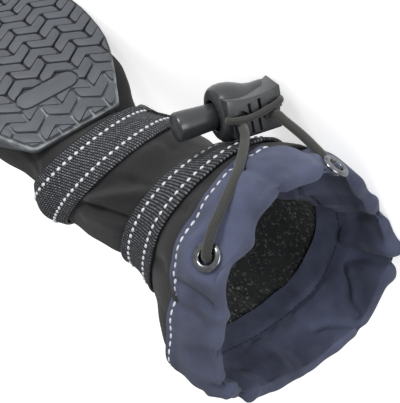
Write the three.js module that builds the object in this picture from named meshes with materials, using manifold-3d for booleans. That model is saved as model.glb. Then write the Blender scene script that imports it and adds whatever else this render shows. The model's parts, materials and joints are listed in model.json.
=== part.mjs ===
import * as THREE from "three";
import { mergeVertices } from "three/addons/utils/BufferGeometryUtils.js";
import Module from "manifold-3d";

const wasm = await Module();
wasm.setup();

// Millimetres. The boot is drawn standing: x to the toe from the back edge of the sole, y to its left,
// z up from the ground. The last group lays it on its left side, as its slack shaft makes it lie.

// Sole
const SOLE_LENGTH = 80;
const BALL_WIDTH = 67;
const HEEL_WIDTH = 39;
const HEEL_CORNER = 4;
const SOLE_PLATE = 1.7;
const LUG_HEIGHT = 1.5;
const RAND_HEIGHT = 7.5;
const RAND_WALL = 1.6;
const TOE_SPRING = 3;
const SPRING_START = 0.62;
const TOE_LEAST_WIDTH = 0.4;
const RAND_LEAST = 0.2;
const RAND_RISE = 0.2;

// Tread of bent bars, which draw together and drift aside toward the toe, and the smooth pad near the heel
const BAR_FIRST = 5.1;
const BAR_PITCH = 5.75;
const BAR_WIDTH = 4.9;
const BAR_SPAN = 13.6;
const BAR_RISE = 4.3;
const BAR_GAP = 1.1;
const BAR_ASIDE = 7.4;
const BAR_ROUNDING = 1.3;
const BAR_CLOSING = 0.0022;
const BAR_DRIFT = 0.09;
const BAR_DRIFT_FROM = 24;
const TREAD_MARGIN = 0.9;
const TREAD_END = 2.5;
const PAD_LENGTH = 24.4;
const PAD_WIDTH = 7;
const PAD_FROM_HEEL = 20.4;
const PAD_CLEARANCE = 0.9;
const SMALLEST_LUG_VOLUME = 3;

// Upper and shaft
const INSTEP_HEIGHT = 37;
const WIDEST_SHARE = 0.3;
const LEAST_REACH = 0.5;
const UPPER_WALL = 2;
const LASTING_MARGIN = 7;
const HEEL_BULGE = 8;
const BULGE_FROM = -0.5;
const BULGE_TO = 0.15;
const INSOLE_THICKNESS = 1.5;
const ANKLE_WIDTH = 52;
const ANKLE_DEPTH = 37;
const SHAFT_LENGTH = 103;
const RIM_WIDTH = 73;
const RIM_DEPTH = 73;
const SHAFT_SWING = 20;
const SHAFT_DROP = 25;
const SHAFT_START_HEIGHT = 18;
const SHAFT_SQUARE = 2.1;
const GAP = 0.3;

// Cuff, straps, eyelets
const CUFF_DEPTH = 21;
const CUFF_CLOTH = 1;
const CASING_DEPTH = 15;
const CUFF_ROOM = 6;
const STRAP_WIDTH = 18;
const STRAP_THICKNESS = 1.4;
const TAB_THICKNESS = 1.2;
const TAB_LENGTH = 26;
const TAB_OUTWARD = 0.75;
const TAB_LIFT = 4;
const ANKLE_STRAP_PLACE = 0.09;
const ANKLE_STRAP_TILT = 28;
const ANKLE_STRAP_TURN = 4;
const SHAFT_STRAP_PLACE = 0.555;
const SHAFT_STRAP_TILT = 16;
const SHAFT_STRAP_TURN = 9;
const STRAP_REACH = 2.7;
const EYELET_OUTER = 9.2;
const EYELET_HOLE = 4.6;
const EYELET_THICKNESS = 1;
const EYELET_FROM_RIM = 7.8;
const EYELET_ANGLE = 46;
const EYELET_BARREL = 1.2;
const EYELET_WALL = 0.5;
const EYELET_SEAT = 0.35;
const EYELET_CROWN = 0.7;

// Cord and cord lock
const CORD_DIAMETER = 3;
const CORD_CLEARANCE = 0.3;
const LOCK_LENGTH = 20;
const LOCK_DIAMETER = 19;
const LOCK_FACE = 7.5;
const LOCK_BACK = 11;
const LOCK_TRIM = 4;
const BARREL_TOP = 1.6;
const BARREL_BACK = 3.4;
const LOCK_BLOCK_LENGTH = 18;
const LOCK_BLOCK_HEIGHT = 13.2;
const LOCK_HOLE_SPACING = 10;
const LOCK_HOLE = 5.4;
const LOCK_BLOCK_ASIDE = 0.5;
const LOCK_BLOCK_RAISED = 0.9;
const LOCK_END_SHARE = 0.72;
const LOCK_EDGE_SHARE = 0.93;
const BORE_LEAD = 10;
const BUTTON_DIAMETER = 9.4;
const BUTTON_LENGTH = 14.5;
const BUTTON_TRAVEL = 2.5;
const BUTTON_CLEARANCE = 0.4;
const BUTTON_INSIDE = 0.9;
const BUTTON_EDGE = 0.8;

const RING_POINTS = 28;
const RINGS_PER_ROW = 1.5;
const TUBE_SIDES = 7;
const LATHE_SIDES = 20;

const degrees = THREE.MathUtils.degToRad;

// Rows of numbers under the names of their columns
function table(columns, rows) {
  const keys = columns.split(" ");
  return rows.map((row) => Object.fromEntries(keys.map((key, i) => [key, row[i]])));
}

// Solids: a closed geometry goes to the boolean library and back
function solid(geometry) {
  const bare = new THREE.BufferGeometry();
  bare.setAttribute("position", geometry.getAttribute("position"));
  if (geometry.index) bare.setIndex(geometry.index);
  const merged = mergeVertices(bare, 1e-4);
  const made = new wasm.Manifold(
    new wasm.Mesh({
      numProp: 3,
      vertProperties: new Float32Array(merged.attributes.position.array),
      triVerts: new Uint32Array(merged.index.array),
    }),
  );
  return made;
}

function geometryOf(made) {
  const mesh = made.getMesh();
  const geometry = new THREE.BufferGeometry();
  const places = new Float32Array(mesh.numVert * 3);
  for (let i = 0; i < mesh.numVert; i++) {
    places.set(mesh.vertProperties.subarray(i * mesh.numProp, i * mesh.numProp + 3), i * 3);
  }
  geometry.setAttribute("position", new THREE.BufferAttribute(places, 3));
  geometry.setIndex(new THREE.BufferAttribute(new Uint32Array(mesh.triVerts), 1));
  geometry.computeVertexNormals();
  return geometry;
}

// A closed skin over rings of the same number of points, with flat ends
function loft(rings) {
  const count = rings[0].length;
  const places = rings.flat();
  const faces = [];
  for (let r = 0; r + 1 < rings.length; r++) {
    for (let i = 0; i < count; i++) {
      const j = (i + 1) % count;
      const a = r * count + i;
      const b = r * count + j;
      faces.push(a, b, b + count, a, b + count, a + count);
    }
  }
  [0, rings.length - 1].forEach((r, end) => {
    const middle = new THREE.Vector3();
    rings[r].forEach((p) => middle.add(p));
    places.push(middle.divideScalar(count));
    for (let i = 0; i < count; i++) {
      const a = r * count + i;
      const b = r * count + ((i + 1) % count);
      if (end) faces.push(a, b, places.length - 1);
      else faces.push(b, a, places.length - 1);
    }
  });
  const geometry = new THREE.BufferGeometry().setFromPoints(places);
  geometry.setIndex(faces);
  if (volumeOf(geometry) < 0) {
    for (let i = 0; i < faces.length; i += 3) {
      [faces[i + 1], faces[i + 2]] = [faces[i + 2], faces[i + 1]];
    }
    geometry.setIndex(faces);
  }
  return geometry;
}

function volumeOf(geometry) {
  const at = geometry.attributes.position;
  const corner = [0, 1, 2].map(() => new THREE.Vector3());
  let sum = 0;
  for (let i = 0; i < geometry.index.count; i += 3) {
    corner.forEach((c, k) => c.fromBufferAttribute(at, geometry.index.getX(i + k)));
    sum += corner[0].dot(corner[1].clone().cross(corner[2]));
  }
  return sum / 6;
}

// A value between the rows of a table, on a smooth curve through them
function between(rows, key, place) {
  const row = Math.min(Math.floor(place), rows.length - 2);
  const t = place - row;
  const pick = (i) => rows[Math.max(0, Math.min(rows.length - 1, i))][key];
  const [a, b, c, d] = [pick(row - 1), pick(row), pick(row + 1), pick(row + 2)];
  return b + 0.5 * t * (c - a + t * (2 * a - 5 * b + 4 * c - d + t * (3 * (b - c) + d - a)));
}

// The toe lifts off the ground from the ball forward
function spring(x) {
  const t = THREE.MathUtils.clamp((x / SOLE_LENGTH - SPRING_START) / (1 - SPRING_START), 0, 1);
  return TOE_SPRING * t * t;
}

// Sole outline, from the back edge to the toe: shares of the length, and of the step from heel to ball
const outlineRows = table("along spread", [
  [0.0, -0.28],
  [0.012, -0.1],
  [0.045, 0.02],
  [0.12, 0.25],
  [0.24, 0.6],
  [0.38, 0.9],
  [0.54, 1.0],
  [0.7, 0.93],
  [0.83, 0.6],
  [0.92, 0.05],
  [0.975, -0.66],
  [1.0, -1.25],
]);

function soleOutline(inset, backTo = inset) {
  const steps = 2;
  const side = [];
  for (let i = 0; i <= (outlineRows.length - 1) * steps; i++) {
    const along = between(outlineRows, "along", i / steps) * SOLE_LENGTH;
    const half = (HEEL_WIDTH + between(outlineRows, "spread", i / steps) * (BALL_WIDTH - HEEL_WIDTH)) / 2;
    side.push(new THREE.Vector2(along, Math.max(half, 0)));
  }
  const moved = side.map((p, i) => {
    const before = side[Math.max(i - 1, 0)];
    const after = side[Math.min(i + 1, side.length - 1)];
    const way = after.clone().sub(before).normalize();
    return new THREE.Vector2(p.x + way.y * inset, p.y - way.x * inset);
  });
  const kept = moved.filter((p) => p.y > TOE_LEAST_WIDTH && p.x > inset * 0.9);
  kept[0].x = Math.min(kept[0].x, backTo);
  kept.unshift(new THREE.Vector2(backTo, kept[0].y - HEEL_CORNER * 0.3));
  kept[1].x = Math.max(kept[1].x, backTo + 0.2);
  return kept;
}

// A slab that follows the outline and the toe's lift, between two heights
function slab(side, low, high) {
  const rings = side.map(({ x, y }) => {
    const lift = spring(x);
    const top = typeof high === "function" ? high(x) : high;
    return [
      new THREE.Vector3(x, -y, low + lift),
      new THREE.Vector3(x, y, low + lift),
      new THREE.Vector3(x, y, top + lift),
      new THREE.Vector3(x, -y, top + lift),
    ];
  });
  return solid(loft(rings));
}

const PLATE_TOP = LUG_HEIGHT + SOLE_PLATE;
const BED = PLATE_TOP + GAP;

function randTop(x) {
  const t = THREE.MathUtils.smoothstep(x, 0, SOLE_LENGTH * RAND_RISE);
  return THREE.MathUtils.lerp(PLATE_TOP + RAND_LEAST, RAND_HEIGHT, t);
}

function halfWidthAt(side, x) {
  for (let i = 0; i + 1 < side.length; i++) {
    if (x >= side[i].x && x <= side[i + 1].x) {
      const t = (x - side[i].x) / (side[i + 1].x - side[i].x);
      return side[i].y + t * (side[i + 1].y - side[i].y);
    }
  }
  return 0;
}

// A flat shape on the ground, pushed up to a height and lifted with the toe
function lug(points, low, high) {
  const shape = new THREE.Shape(points);
  const body = new THREE.ExtrudeGeometry(shape, { depth: high - low, bevelEnabled: false, curveSegments: 5 });
  const at = body.attributes.position;
  for (let i = 0; i < at.count; i++) at.setZ(i, at.getZ(i) + low + spring(at.getX(i)));
  body.deleteAttribute("normal");
  body.deleteAttribute("uv");
  return solid(body);
}

function stadium(length, width, x, y) {
  const r = width / 2;
  const half = length / 2 - r;
  const points = [];
  for (const end of [1, -1]) {
    for (let i = 0; i <= 6; i++) {
      const a = (i / 6) * Math.PI;
      points.push(new THREE.Vector2(x - end * r * Math.cos(a), y + end * (half + r * Math.sin(a))));
    }
  }
  return points;
}

// Where a point of the evenly drawn tread lies on the sole
function onSole({ x, y }) {
  const along = BAR_FIRST + x - BAR_CLOSING * x * x;
  return new THREE.Vector2(along, y + BAR_ASIDE - BAR_DRIFT * Math.max(along - BAR_DRIFT_FROM, 0));
}

// One bent bar, its apex to the toe (way 1) or to the heel (way -1), with rounded ends
function barShape(x, y, way) {
  const half = BAR_SPAN / 2 - BAR_GAP / 2;
  const thick = BAR_WIDTH / 2;
  const fall = way * BAR_RISE;
  const corners = [
    new THREE.Vector2(x + thick, y),
    new THREE.Vector2(x - fall + thick, y + half),
    new THREE.Vector2(x - fall - thick, y + half),
    new THREE.Vector2(x - thick, y),
    new THREE.Vector2(x - fall - thick, y - half),
    new THREE.Vector2(x - fall + thick, y - half),
  ];
  const points = corners.flatMap((corner, i) => {
    if (corner.y === y) return [corner];
    const before = corners[i - 1].clone().sub(corner).setLength(BAR_ROUNDING).add(corner);
    const after = corners[(i + 1) % corners.length].clone().sub(corner).setLength(BAR_ROUNDING).add(corner);
    const middle = before.clone().add(after).multiplyScalar(0.5).lerp(corner, 0.5);
    return [before, middle, after];
  });
  const placed = points.map(onSole);
  return THREE.ShapeUtils.area(placed) > 0 ? placed : placed.reverse();
}

function outsole() {
  const edge = soleOutline(0);
  const inner = soleOutline(RAND_WALL, -RAND_WALL);
  const cup = slab(edge, LUG_HEIGHT, randTop).subtract(slab(inner, PLATE_TOP, RAND_HEIGHT * 2));
  const tread = soleOutline(TREAD_MARGIN);
  const field = slab(tread, -LUG_HEIGHT, PLATE_TOP);
  const root = LUG_HEIGHT + SOLE_PLATE / 2;
  const padRoom = lug(
    stadium(PAD_LENGTH + 2 * PAD_CLEARANCE, PAD_WIDTH + 2 * PAD_CLEARANCE, PAD_FROM_HEEL, 0),
    -LUG_HEIGHT,
    LUG_HEIGHT * 2,
  );
  const bars = [];
  const columns = Math.ceil(BALL_WIDTH / BAR_SPAN / 2) + 1;
  for (let row = -1; onSole({ x: row * BAR_PITCH - BAR_RISE, y: 0 }).x < SOLE_LENGTH; row++) {
    const way = row % 2 === 0 ? 1 : -1;
    const x = row * BAR_PITCH + (way * BAR_RISE) / 2;
    for (let column = -columns; column <= columns; column++) {
      const y = (way > 0 ? 0 : BAR_SPAN / 2) + column * BAR_SPAN;
      const centre = onSole({ x, y });
      const inside = THREE.MathUtils.clamp(centre.x, TREAD_END, SOLE_LENGTH - TREAD_END);
      if (halfWidthAt(tread, inside) + BAR_SPAN / 2 < Math.abs(centre.y)) continue;
      bars.push(lug(barShape(x, y, way), 0, root));
    }
  }
  let lugs = wasm.Manifold.union(bars).intersect(field).subtract(padRoom);
  lugs = wasm.Manifold.union(lugs.decompose().filter((one) => one.volume() > SMALLEST_LUG_VOLUME));
  const pad = lug(stadium(PAD_LENGTH, PAD_WIDTH, PAD_FROM_HEEL, 0), 0, root);
  return cup.add(lugs).add(pad);
}

// Upper: sections from the toe to the rim. Shares: along the sole, or behind it along the shaft; half of the
// width and the reach to the leg side and to the sole side of the size named in the row's own part.
const footRows = table("along half low top square base end bulge", [
  [0.975, 0.06, 0.16, 0.3, 2.2, 2.2, 1, 0],
  [0.95, 0.29, 0.03, 0.48, 2.1, 2.6, 0.6, 0],
  [0.89, 0.55, 0, 0.64, 2, 3.4, 0.2, 0],
  [0.77, 0.835, 0, 0.79, 2, 4, 0, 0],
  [0.56, 0.935, 0, 0.9, 2, 4, 0, 0.2],
  [0.33, 0.82, 0, 0.98, 2, 4, 0, 1.0],
  [0.12, 0.615, 0, 1.04, 2.1, 3.4, 0, 1.1],
  [0.0, 0.58, 0.01, 1.06, 2.1, 2.8, 0, 0.9],
]);
const shaftRows = table("along half sole leg swing drop dip veer wide slack crest", [
  [0.06, 0.99, 0.98, 0.97, 0.1, 0.03, 4, 9, 0, 0, 0],
  [0.135, 0.96, 0.94, 0.93, 0.21, 0.1, 10, 12, 0, 0, 0],
  [0.23, 0.98, 1.06, 0.95, 0.33, 0.2, 14, 13, 0, 0, 0],
  [0.36, 0.98, 1.12, 0.94, 0.48, 0.33, 16, 12, 0.05, 0, 0],
  [0.47, 0.92, 1.0, 0.9, 0.61, 0.45, 17, 11, 0.12, 0.1, 0],
  [0.6, 0.96, 1.05, 0.96, 0.74, 0.6, 18, 9, 0.33, 0.35, 0],
  [0.74, 1.0, 1.0, 1.0, 0.82, 0.75, 19, 7, 0.7, 0.85, 0],
  [0.88, 1.0, 1.0, 1.0, 0.93, 0.89, 20, 5, 0.94, 1, 0.35],
  [1.0, 1.0, 1.0, 1.0, 1.0, 1.0, 20, 4, 1.0, 1, 1],
]);

// How the slack collar hangs out of round: shares of its reach round the cuff's lower edge and round the
// rim, with the angle from the left to the leg side
const slouch = table("angle band rim", [
  [0, 0.97, 0.96],
  [20, 1.00, 1.04],
  [40, 1.00, 0.99],
  [60, 1.00, 1.00],
  [80, 0.95, 0.92],
  [100, 0.96, 0.92],
  [120, 1.02, 0.94],
  [140, 1.15, 1.05],
  [160, 1.27, 1.11],
  [180, 1.08, 1.02],
  [200, 1.00, 0.94],
  [220, 1.05, 1.04],
  [240, 1.06, 0.98],
  [260, 1.10, 1.13],
  [280, 1.15, 1.10],
  [300, 1.12, 1.06],
  [320, 1.00, 0.94],
  [340, 0.94, 0.90],
]);

// Every section in millimetres: centre, the two slopes, three reaches and two squareness values
function sectionTable() {
  const all = footRows.map((row) => {
    const x = row.along * SOLE_LENGTH;
    const low = BED + row.low * INSTEP_HEIGHT + spring(x);
    const top = row.top * INSTEP_HEIGHT + spring(x);
    const middle = low + (top - low) * WIDEST_SHARE;
    return {
      x,
      y: 0,
      z: middle,
      dip: 0,
      veer: 0,
      half: (row.half * BALL_WIDTH) / 2,
      sole: middle - low,
      leg: top - middle,
      square: row.square,
      base: row.base,
      end: row.end,
      slack: 0,
      crest: 0,
      bulge: row.bulge,
    };
  });
  shaftRows.forEach((row) => {
    const width = THREE.MathUtils.lerp(ANKLE_WIDTH, RIM_WIDTH, row.wide);
    const depth = THREE.MathUtils.lerp(ANKLE_DEPTH, RIM_DEPTH, row.wide);
    all.push({
      x: -row.along * SHAFT_LENGTH,
      y: row.swing * SHAFT_SWING,
      z: SHAFT_START_HEIGHT - row.drop * SHAFT_DROP,
      dip: row.dip,
      veer: row.veer,
      half: (row.half * width) / 2,
      sole: (row.sole * depth) / 2,
      leg: (row.leg * depth) / 2,
      square: SHAFT_SQUARE,
      base: SHAFT_SQUARE,
      end: 0,
      slack: row.slack,
      crest: row.crest,
      bulge: 0,
    });
  });
  return all;
}
const sections = sectionTable();
const RIM_PLACE = sections.length - 1;

// The frame of the section at a place in the table: centre, out along the shaft, left, and to the leg side
function frameAt(place) {
  const dip = degrees(between(sections, "dip", place));
  const veer = degrees(between(sections, "veer", place));
  const out = new THREE.Vector3(
    -Math.cos(dip) * Math.cos(veer),
    Math.cos(dip) * Math.sin(veer),
    -Math.sin(dip),
  );
  const left = new THREE.Vector3(0, 1, 0).addScaledVector(out, -out.y).normalize();
  const leg = left.clone().cross(out).normalize();
  const centre = new THREE.Vector3(
    between(sections, "x", place),
    between(sections, "y", place),
    between(sections, "z", place),
  );
  return { centre, out, left, leg };
}

function slouchAt(angle, place) {
  const turn = (((angle / (2 * Math.PI)) % 1) + 1) % 1;
  const step = turn * slouch.length;
  const first = Math.floor(step);
  const t = step - first;
  const crest = between(sections, "crest", place);
  const pick = (i) => {
    const row = slouch[(first + i + slouch.length) % slouch.length];
    return THREE.MathUtils.lerp(row.band, row.rim, crest);
  };
  const [a, b, c, d] = [pick(-1), pick(0), pick(1), pick(2)];
  const share = b + 0.5 * t * (c - a + t * (2 * a - 5 * b + 4 * c - d + t * (3 * (b - c) + d - a)));
  return 1 + (share - 1) * between(sections, "slack", place);
}

// A point of the form at a place and an angle: 0 is left, a quarter turn is the leg side
function formPoint(place, angle, inset, beyond = 0) {
  const { centre, out, left, leg } = frameAt(place);
  const slack = slouchAt(angle, place);
  const half = Math.max(between(sections, "half", place) * slack - inset, LEAST_REACH);
  const upward = Math.sin(angle) >= 0;
  const reach = Math.max(between(sections, upward ? "leg" : "sole", place) * slack - inset, LEAST_REACH);
  const power = 2 / between(sections, upward ? "square" : "base", place);
  const c = Math.cos(angle);
  const s = Math.sin(angle);
  const across = half * Math.sign(c) * Math.abs(c) ** power;
  const up = reach * Math.sign(s) * Math.abs(s) ** power;
  const rise = THREE.MathUtils.smoothstep(up / reach, BULGE_FROM, BULGE_TO);
  const bulge = HEEL_BULGE * between(sections, "bulge", place) * rise * Math.max(c, 0);
  const along = beyond + inset * between(sections, "end", place);
  return centre
    .addScaledVector(left, across + bulge)
    .addScaledVector(leg, up)
    .addScaledVector(out, along);
}

function ring(place, inset, beyond = 0) {
  const points = [];
  for (let i = 0; i < RING_POINTS; i++) {
    points.push(formPoint(place, ((i + 0.5) / RING_POINTS) * Math.PI * 2, inset, beyond));
  }
  return points;
}

// The form between two places, thicker or thinner by the inset, reaching beyond its last ring
function form(inset, from, to, beyond = 0) {
  const places = [from];
  const first = Math.ceil(from * RINGS_PER_ROW + 0.01);
  for (let i = first; i < to * RINGS_PER_ROW - 0.01; i++) places.push(i / RINGS_PER_ROW);
  places.push(to);
  const rings = places.map((place) => ring(place, inset));
  if (beyond) rings.push(ring(to, inset, beyond));
  return solid(loft(rings));
}

// Where a distance along the shaft, a share of its length, lies in the table
function placeOf(share) {
  let place = footRows.length;
  while (place < RIM_PLACE && -between(sections, "x", place) < share * SHAFT_LENGTH) place += 0.005;
  return Math.min(place, RIM_PLACE);
}

// The frame of a band round the shaft: tilted about its left axis and turned about its leg axis, in degrees
function bandFrame({ place, tilt = 0, turn = 0 }) {
  const { centre, out, left, leg } = frameAt(place);
  out.applyAxisAngle(left, degrees(tilt)).applyAxisAngle(leg, degrees(turn));
  left.applyAxisAngle(leg, degrees(turn));
  return { centre, out, left, leg: left.clone().cross(out).normalize() };
}

// A thick plate across the shaft: what lies between two distances along it
function plateAt(band, from, to) {
  const { centre, out, left, leg } = bandFrame(band);
  const size = BALL_WIDTH + RIM_WIDTH;
  const box = new THREE.BoxGeometry(size, size, to - from);
  box.translate(0, 0, (from + to) / 2);
  box.applyMatrix4(new THREE.Matrix4().makeBasis(left, leg, out).setPosition(centre));
  if (new THREE.Matrix4().makeBasis(left, leg, out).determinant() < 0) {
    const order = box.index.array;
    for (let i = 0; i < order.length; i += 3) [order[i + 1], order[i + 2]] = [order[i + 2], order[i + 1]];
  }
  return solid(box);
}

// The upper ends inside the cuff, below the casing that the cord runs in
const snapped = (place) => Math.round(place * RINGS_PER_ROW) / RINGS_PER_ROW;
const UPPER_END = snapped(placeOf(1 - CASING_DEPTH / SHAFT_LENGTH));

function upper() {
  const outer = form(0, 0, UPPER_END);
  const inner = form(UPPER_WALL, 0, UPPER_END, UPPER_WALL * 2);
  const opening = soleOutline(RAND_WALL + LASTING_MARGIN);
  const cut = slab(opening, 0, BED + UPPER_WALL * 2);
  return outer.subtract(inner).subtract(cut);
}

function insole() {
  const room = form(UPPER_WALL + GAP, 0, footRows.length - 1);
  const level = BED + UPPER_WALL + GAP;
  const sheet = slab(soleOutline(RAND_WALL, 2), level, level + INSOLE_THICKNESS);
  return room.intersect(sheet);
}

// The rings of the form that enclose a strap: the same rings as the upper's, so that the gap stays even
function ringsAround(place) {
  const from = Math.floor((place - STRAP_REACH) * RINGS_PER_ROW) / RINGS_PER_ROW;
  const to = Math.ceil((place + STRAP_REACH) * RINGS_PER_ROW) / RINGS_PER_ROW;
  return [from, Math.min(to, RIM_PLACE)];
}

function bandOver(place, under, thickness) {
  const [from, to] = ringsAround(place);
  return form(-under - thickness, from, to).subtract(form(-under, from, to));
}

function strap(band) {
  const loop = bandOver(band.place, GAP, STRAP_THICKNESS);
  return loop.intersect(plateAt(band, -STRAP_WIDTH / 2, STRAP_WIDTH / 2));
}

// The strap's free end, laid over its start on the left side
function strapTab(band) {
  const layer = bandOver(band.place, 2 * GAP + STRAP_THICKNESS, TAB_THICKNESS);
  const { centre, out, left, leg } = bandFrame(band);
  const box = new THREE.BoxGeometry(ANKLE_WIDTH, TAB_LENGTH, STRAP_WIDTH - 1);
  box.translate(ANKLE_WIDTH * TAB_OUTWARD, TAB_LIFT, 0);
  const turn = new THREE.Matrix4().makeBasis(left, leg, out);
  if (turn.determinant() < 0) turn.makeBasis(left, leg, out.clone().negate());
  box.applyMatrix4(turn.setPosition(centre));
  return layer.intersect(solid(box));
}

function cuff() {
  const from = snapped(placeOf(1 - (CUFF_DEPTH + CUFF_ROOM) / SHAFT_LENGTH) - 0.5);
  const skin = form(-GAP - CUFF_CLOTH, from, RIM_PLACE, CUFF_CLOTH);
  const hollow = form(UPPER_WALL + GAP + CUFF_CLOTH, from, RIM_PLACE, CUFF_CLOTH * 3);
  const room = form(-GAP, from, RIM_PLACE, 0.01).subtract(form(UPPER_WALL + GAP, from, RIM_PLACE, 0.02));
  const whole = skin.subtract(hollow).subtract(room);
  return whole.intersect(plateAt({ place: RIM_PLACE }, -CUFF_DEPTH, CUFF_CLOTH * 4));
}

// Where an eyelet sits on the cuff: its centre, its outward normal
function eyeletFrame(side) {
  const place = placeOf(1 - EYELET_FROM_RIM / SHAFT_LENGTH);
  const angle = -Math.PI / 2 + side * degrees(EYELET_ANGLE);
  const skin = -GAP - CUFF_CLOTH;
  const centre = formPoint(place, angle, skin);
  const around = formPoint(place, angle + 0.05, skin).sub(formPoint(place, angle - 0.05, skin)).normalize();
  const { out } = frameAt(place);
  const normal = around.clone().cross(out).normalize();
  if (normal.dot(centre.clone().sub(frameAt(place).centre)) < 0) normal.negate();
  return { centre, normal };
}

function facing(normal, at) {
  const turn = new THREE.Quaternion().setFromUnitVectors(new THREE.Vector3(0, 1, 0), normal);
  return new THREE.Matrix4().compose(at, turn, new THREE.Vector3(1, 1, 1));
}

function eyeletShape() {
  const outer = EYELET_OUTER / 2;
  const hole = EYELET_HOLE / 2;
  return new THREE.LatheGeometry(
    [
      new THREE.Vector2(hole, -EYELET_BARREL),
      new THREE.Vector2(hole + EYELET_WALL, -EYELET_BARREL),
      new THREE.Vector2(hole + EYELET_WALL, EYELET_SEAT),
      new THREE.Vector2(outer, EYELET_SEAT),
      new THREE.Vector2(outer - EYELET_WALL, EYELET_THICKNESS),
      new THREE.Vector2(hole + EYELET_CROWN, EYELET_THICKNESS * 1.2),
      new THREE.Vector2(hole, EYELET_THICKNESS * 0.8),
      new THREE.Vector2(hole, -EYELET_BARREL),
    ],
    LATHE_SIDES,
  );
}

function disc(radius, height, matrix) {
  const body = new THREE.CylinderGeometry(radius, radius, height, LATHE_SIDES);
  body.applyMatrix4(matrix);
  return solid(body);
}

// Cord lock: across is its long way, from the button to the far end; front is the face that the cord comes
// out of; the block stands on top.
const lockCentre = new THREE.Vector3(-54.1, 33.2, -33.8);
const lockAcross = new THREE.Vector3(-0.2, 0.977, 0.07).normalize();
const lockFront = new THREE.Vector3(-0.81, -0.12, -0.57);
lockFront.addScaledVector(lockAcross, -lockFront.dot(lockAcross)).normalize();
const lockTop = lockFront.clone().cross(lockAcross).normalize();
const lockFrame = new THREE.Matrix4().makeBasis(lockAcross, lockTop, lockFront).setPosition(lockCentre);

function inLock(across, top, front) {
  return new THREE.Vector3(across, top, front).applyMatrix4(lockFrame);
}

function placed(geometry) {
  return solid(geometry.applyMatrix4(lockFrame));
}

const BUTTON_END = BUTTON_INSIDE - LOCK_LENGTH / 2;

function lockBody() {
  const r = LOCK_DIAMETER / 2;
  const half = LOCK_LENGTH / 2;
  const barrel = new THREE.LatheGeometry(
    [
      new THREE.Vector2(0, -half),
      new THREE.Vector2(r * LOCK_END_SHARE, -half),
      new THREE.Vector2(r * LOCK_EDGE_SHARE, -half * 0.82),
      new THREE.Vector2(r, -half * 0.4),
      new THREE.Vector2(r, half * 0.4),
      new THREE.Vector2(r * LOCK_EDGE_SHARE, half * 0.82),
      new THREE.Vector2(r * LOCK_END_SHARE, half),
      new THREE.Vector2(0, half),
    ],
    LATHE_SIDES,
  );
  barrel.rotateZ(-Math.PI / 2);
  barrel.translate(0, BARREL_TOP, -BARREL_BACK);
  const trim = new THREE.BoxGeometry(LOCK_LENGTH * 2, LOCK_DIAMETER * 2, LOCK_TRIM + LOCK_BACK);
  trim.translate(0, 0, (LOCK_TRIM - LOCK_BACK) / 2);
  const block = new THREE.BoxGeometry(LOCK_BLOCK_LENGTH, LOCK_BLOCK_HEIGHT, LOCK_FACE);
  block.translate(LOCK_BLOCK_ASIDE, LOCK_BLOCK_RAISED, LOCK_FACE / 2);
  let body = placed(barrel).intersect(placed(trim)).add(placed(block));
  for (const side of [-1, 1]) {
    const hole = new THREE.CylinderGeometry(LOCK_HOLE / 2, LOCK_HOLE / 2, LOCK_FACE * 4, 16);
    hole.rotateX(Math.PI / 2);
    hole.translate((side * LOCK_HOLE_SPACING) / 2, 0, 0);
    body = body.subtract(placed(hole));
  }
  const bore = BUTTON_DIAMETER / 2 + BUTTON_CLEARANCE;
  const depth = half + BUTTON_END + BUTTON_TRAVEL + GAP;
  const room = new THREE.CylinderGeometry(bore, bore, depth + BORE_LEAD, LATHE_SIDES);
  room.rotateZ(Math.PI / 2);
  room.translate((depth - BORE_LEAD) / 2 - half, BARREL_TOP, -BARREL_BACK);
  return body.subtract(placed(room)).subtract(cordTube(barPath, CORD_CLEARANCE));
}

function lockButton() {
  const r = BUTTON_DIAMETER / 2;
  const button = new THREE.LatheGeometry(
    [
      new THREE.Vector2(0, 0),
      new THREE.Vector2(r - BUTTON_EDGE, 0),
      new THREE.Vector2(r, BUTTON_EDGE),
      new THREE.Vector2(r, BUTTON_LENGTH),
      new THREE.Vector2(0, BUTTON_LENGTH),
    ],
    LATHE_SIDES,
  );
  button.rotateZ(-Math.PI / 2);
  button.translate(BUTTON_END - BUTTON_LENGTH, BARREL_TOP, -BARREL_BACK);
  return button.applyMatrix4(lockFrame);
}

// Cord: two strands from the eyelets to the lock's holes, and the bar that crosses the lock's face
const leftEyelet = eyeletFrame(1);
const rightEyelet = eyeletFrame(-1);
const CORD_IN_EYELET = 0.4;
const CORD_STAND = 3;
const CORD_END_DEPTH = 2.5;

const leftPath = [
  leftEyelet.centre.clone().addScaledVector(leftEyelet.normal, -CORD_IN_EYELET),
  leftEyelet.centre.clone().addScaledVector(leftEyelet.normal, CORD_STAND),
  new THREE.Vector3(-81.2, 43.6, -37.2),
  new THREE.Vector3(-76.5, 41.2, -38.8),
  new THREE.Vector3(-71, 39.3, -39.8),
  inLock(6, -1.6, 11.5),
  inLock(5.2, -0.4, 7.5),
  inLock(LOCK_HOLE_SPACING / 2, 0, CORD_END_DEPTH),
];
const rightPath = [
  rightEyelet.centre.clone().addScaledVector(rightEyelet.normal, -CORD_IN_EYELET),
  rightEyelet.centre.clone().addScaledVector(rightEyelet.normal, CORD_STAND),
  new THREE.Vector3(-85.3, -6.2, -39.6),
  new THREE.Vector3(-81.7, 0.3, -41),
  new THREE.Vector3(-77.4, 8, -43.3),
  new THREE.Vector3(-72.8, 15.4, -43.2),
  new THREE.Vector3(-67.8, 21.2, -42.8),
  inLock(-5.2, -2.2, 10.5),
  inLock(-5.1, -0.6, 7),
  inLock(-LOCK_HOLE_SPACING / 2, 0, CORD_END_DEPTH),
];
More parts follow.
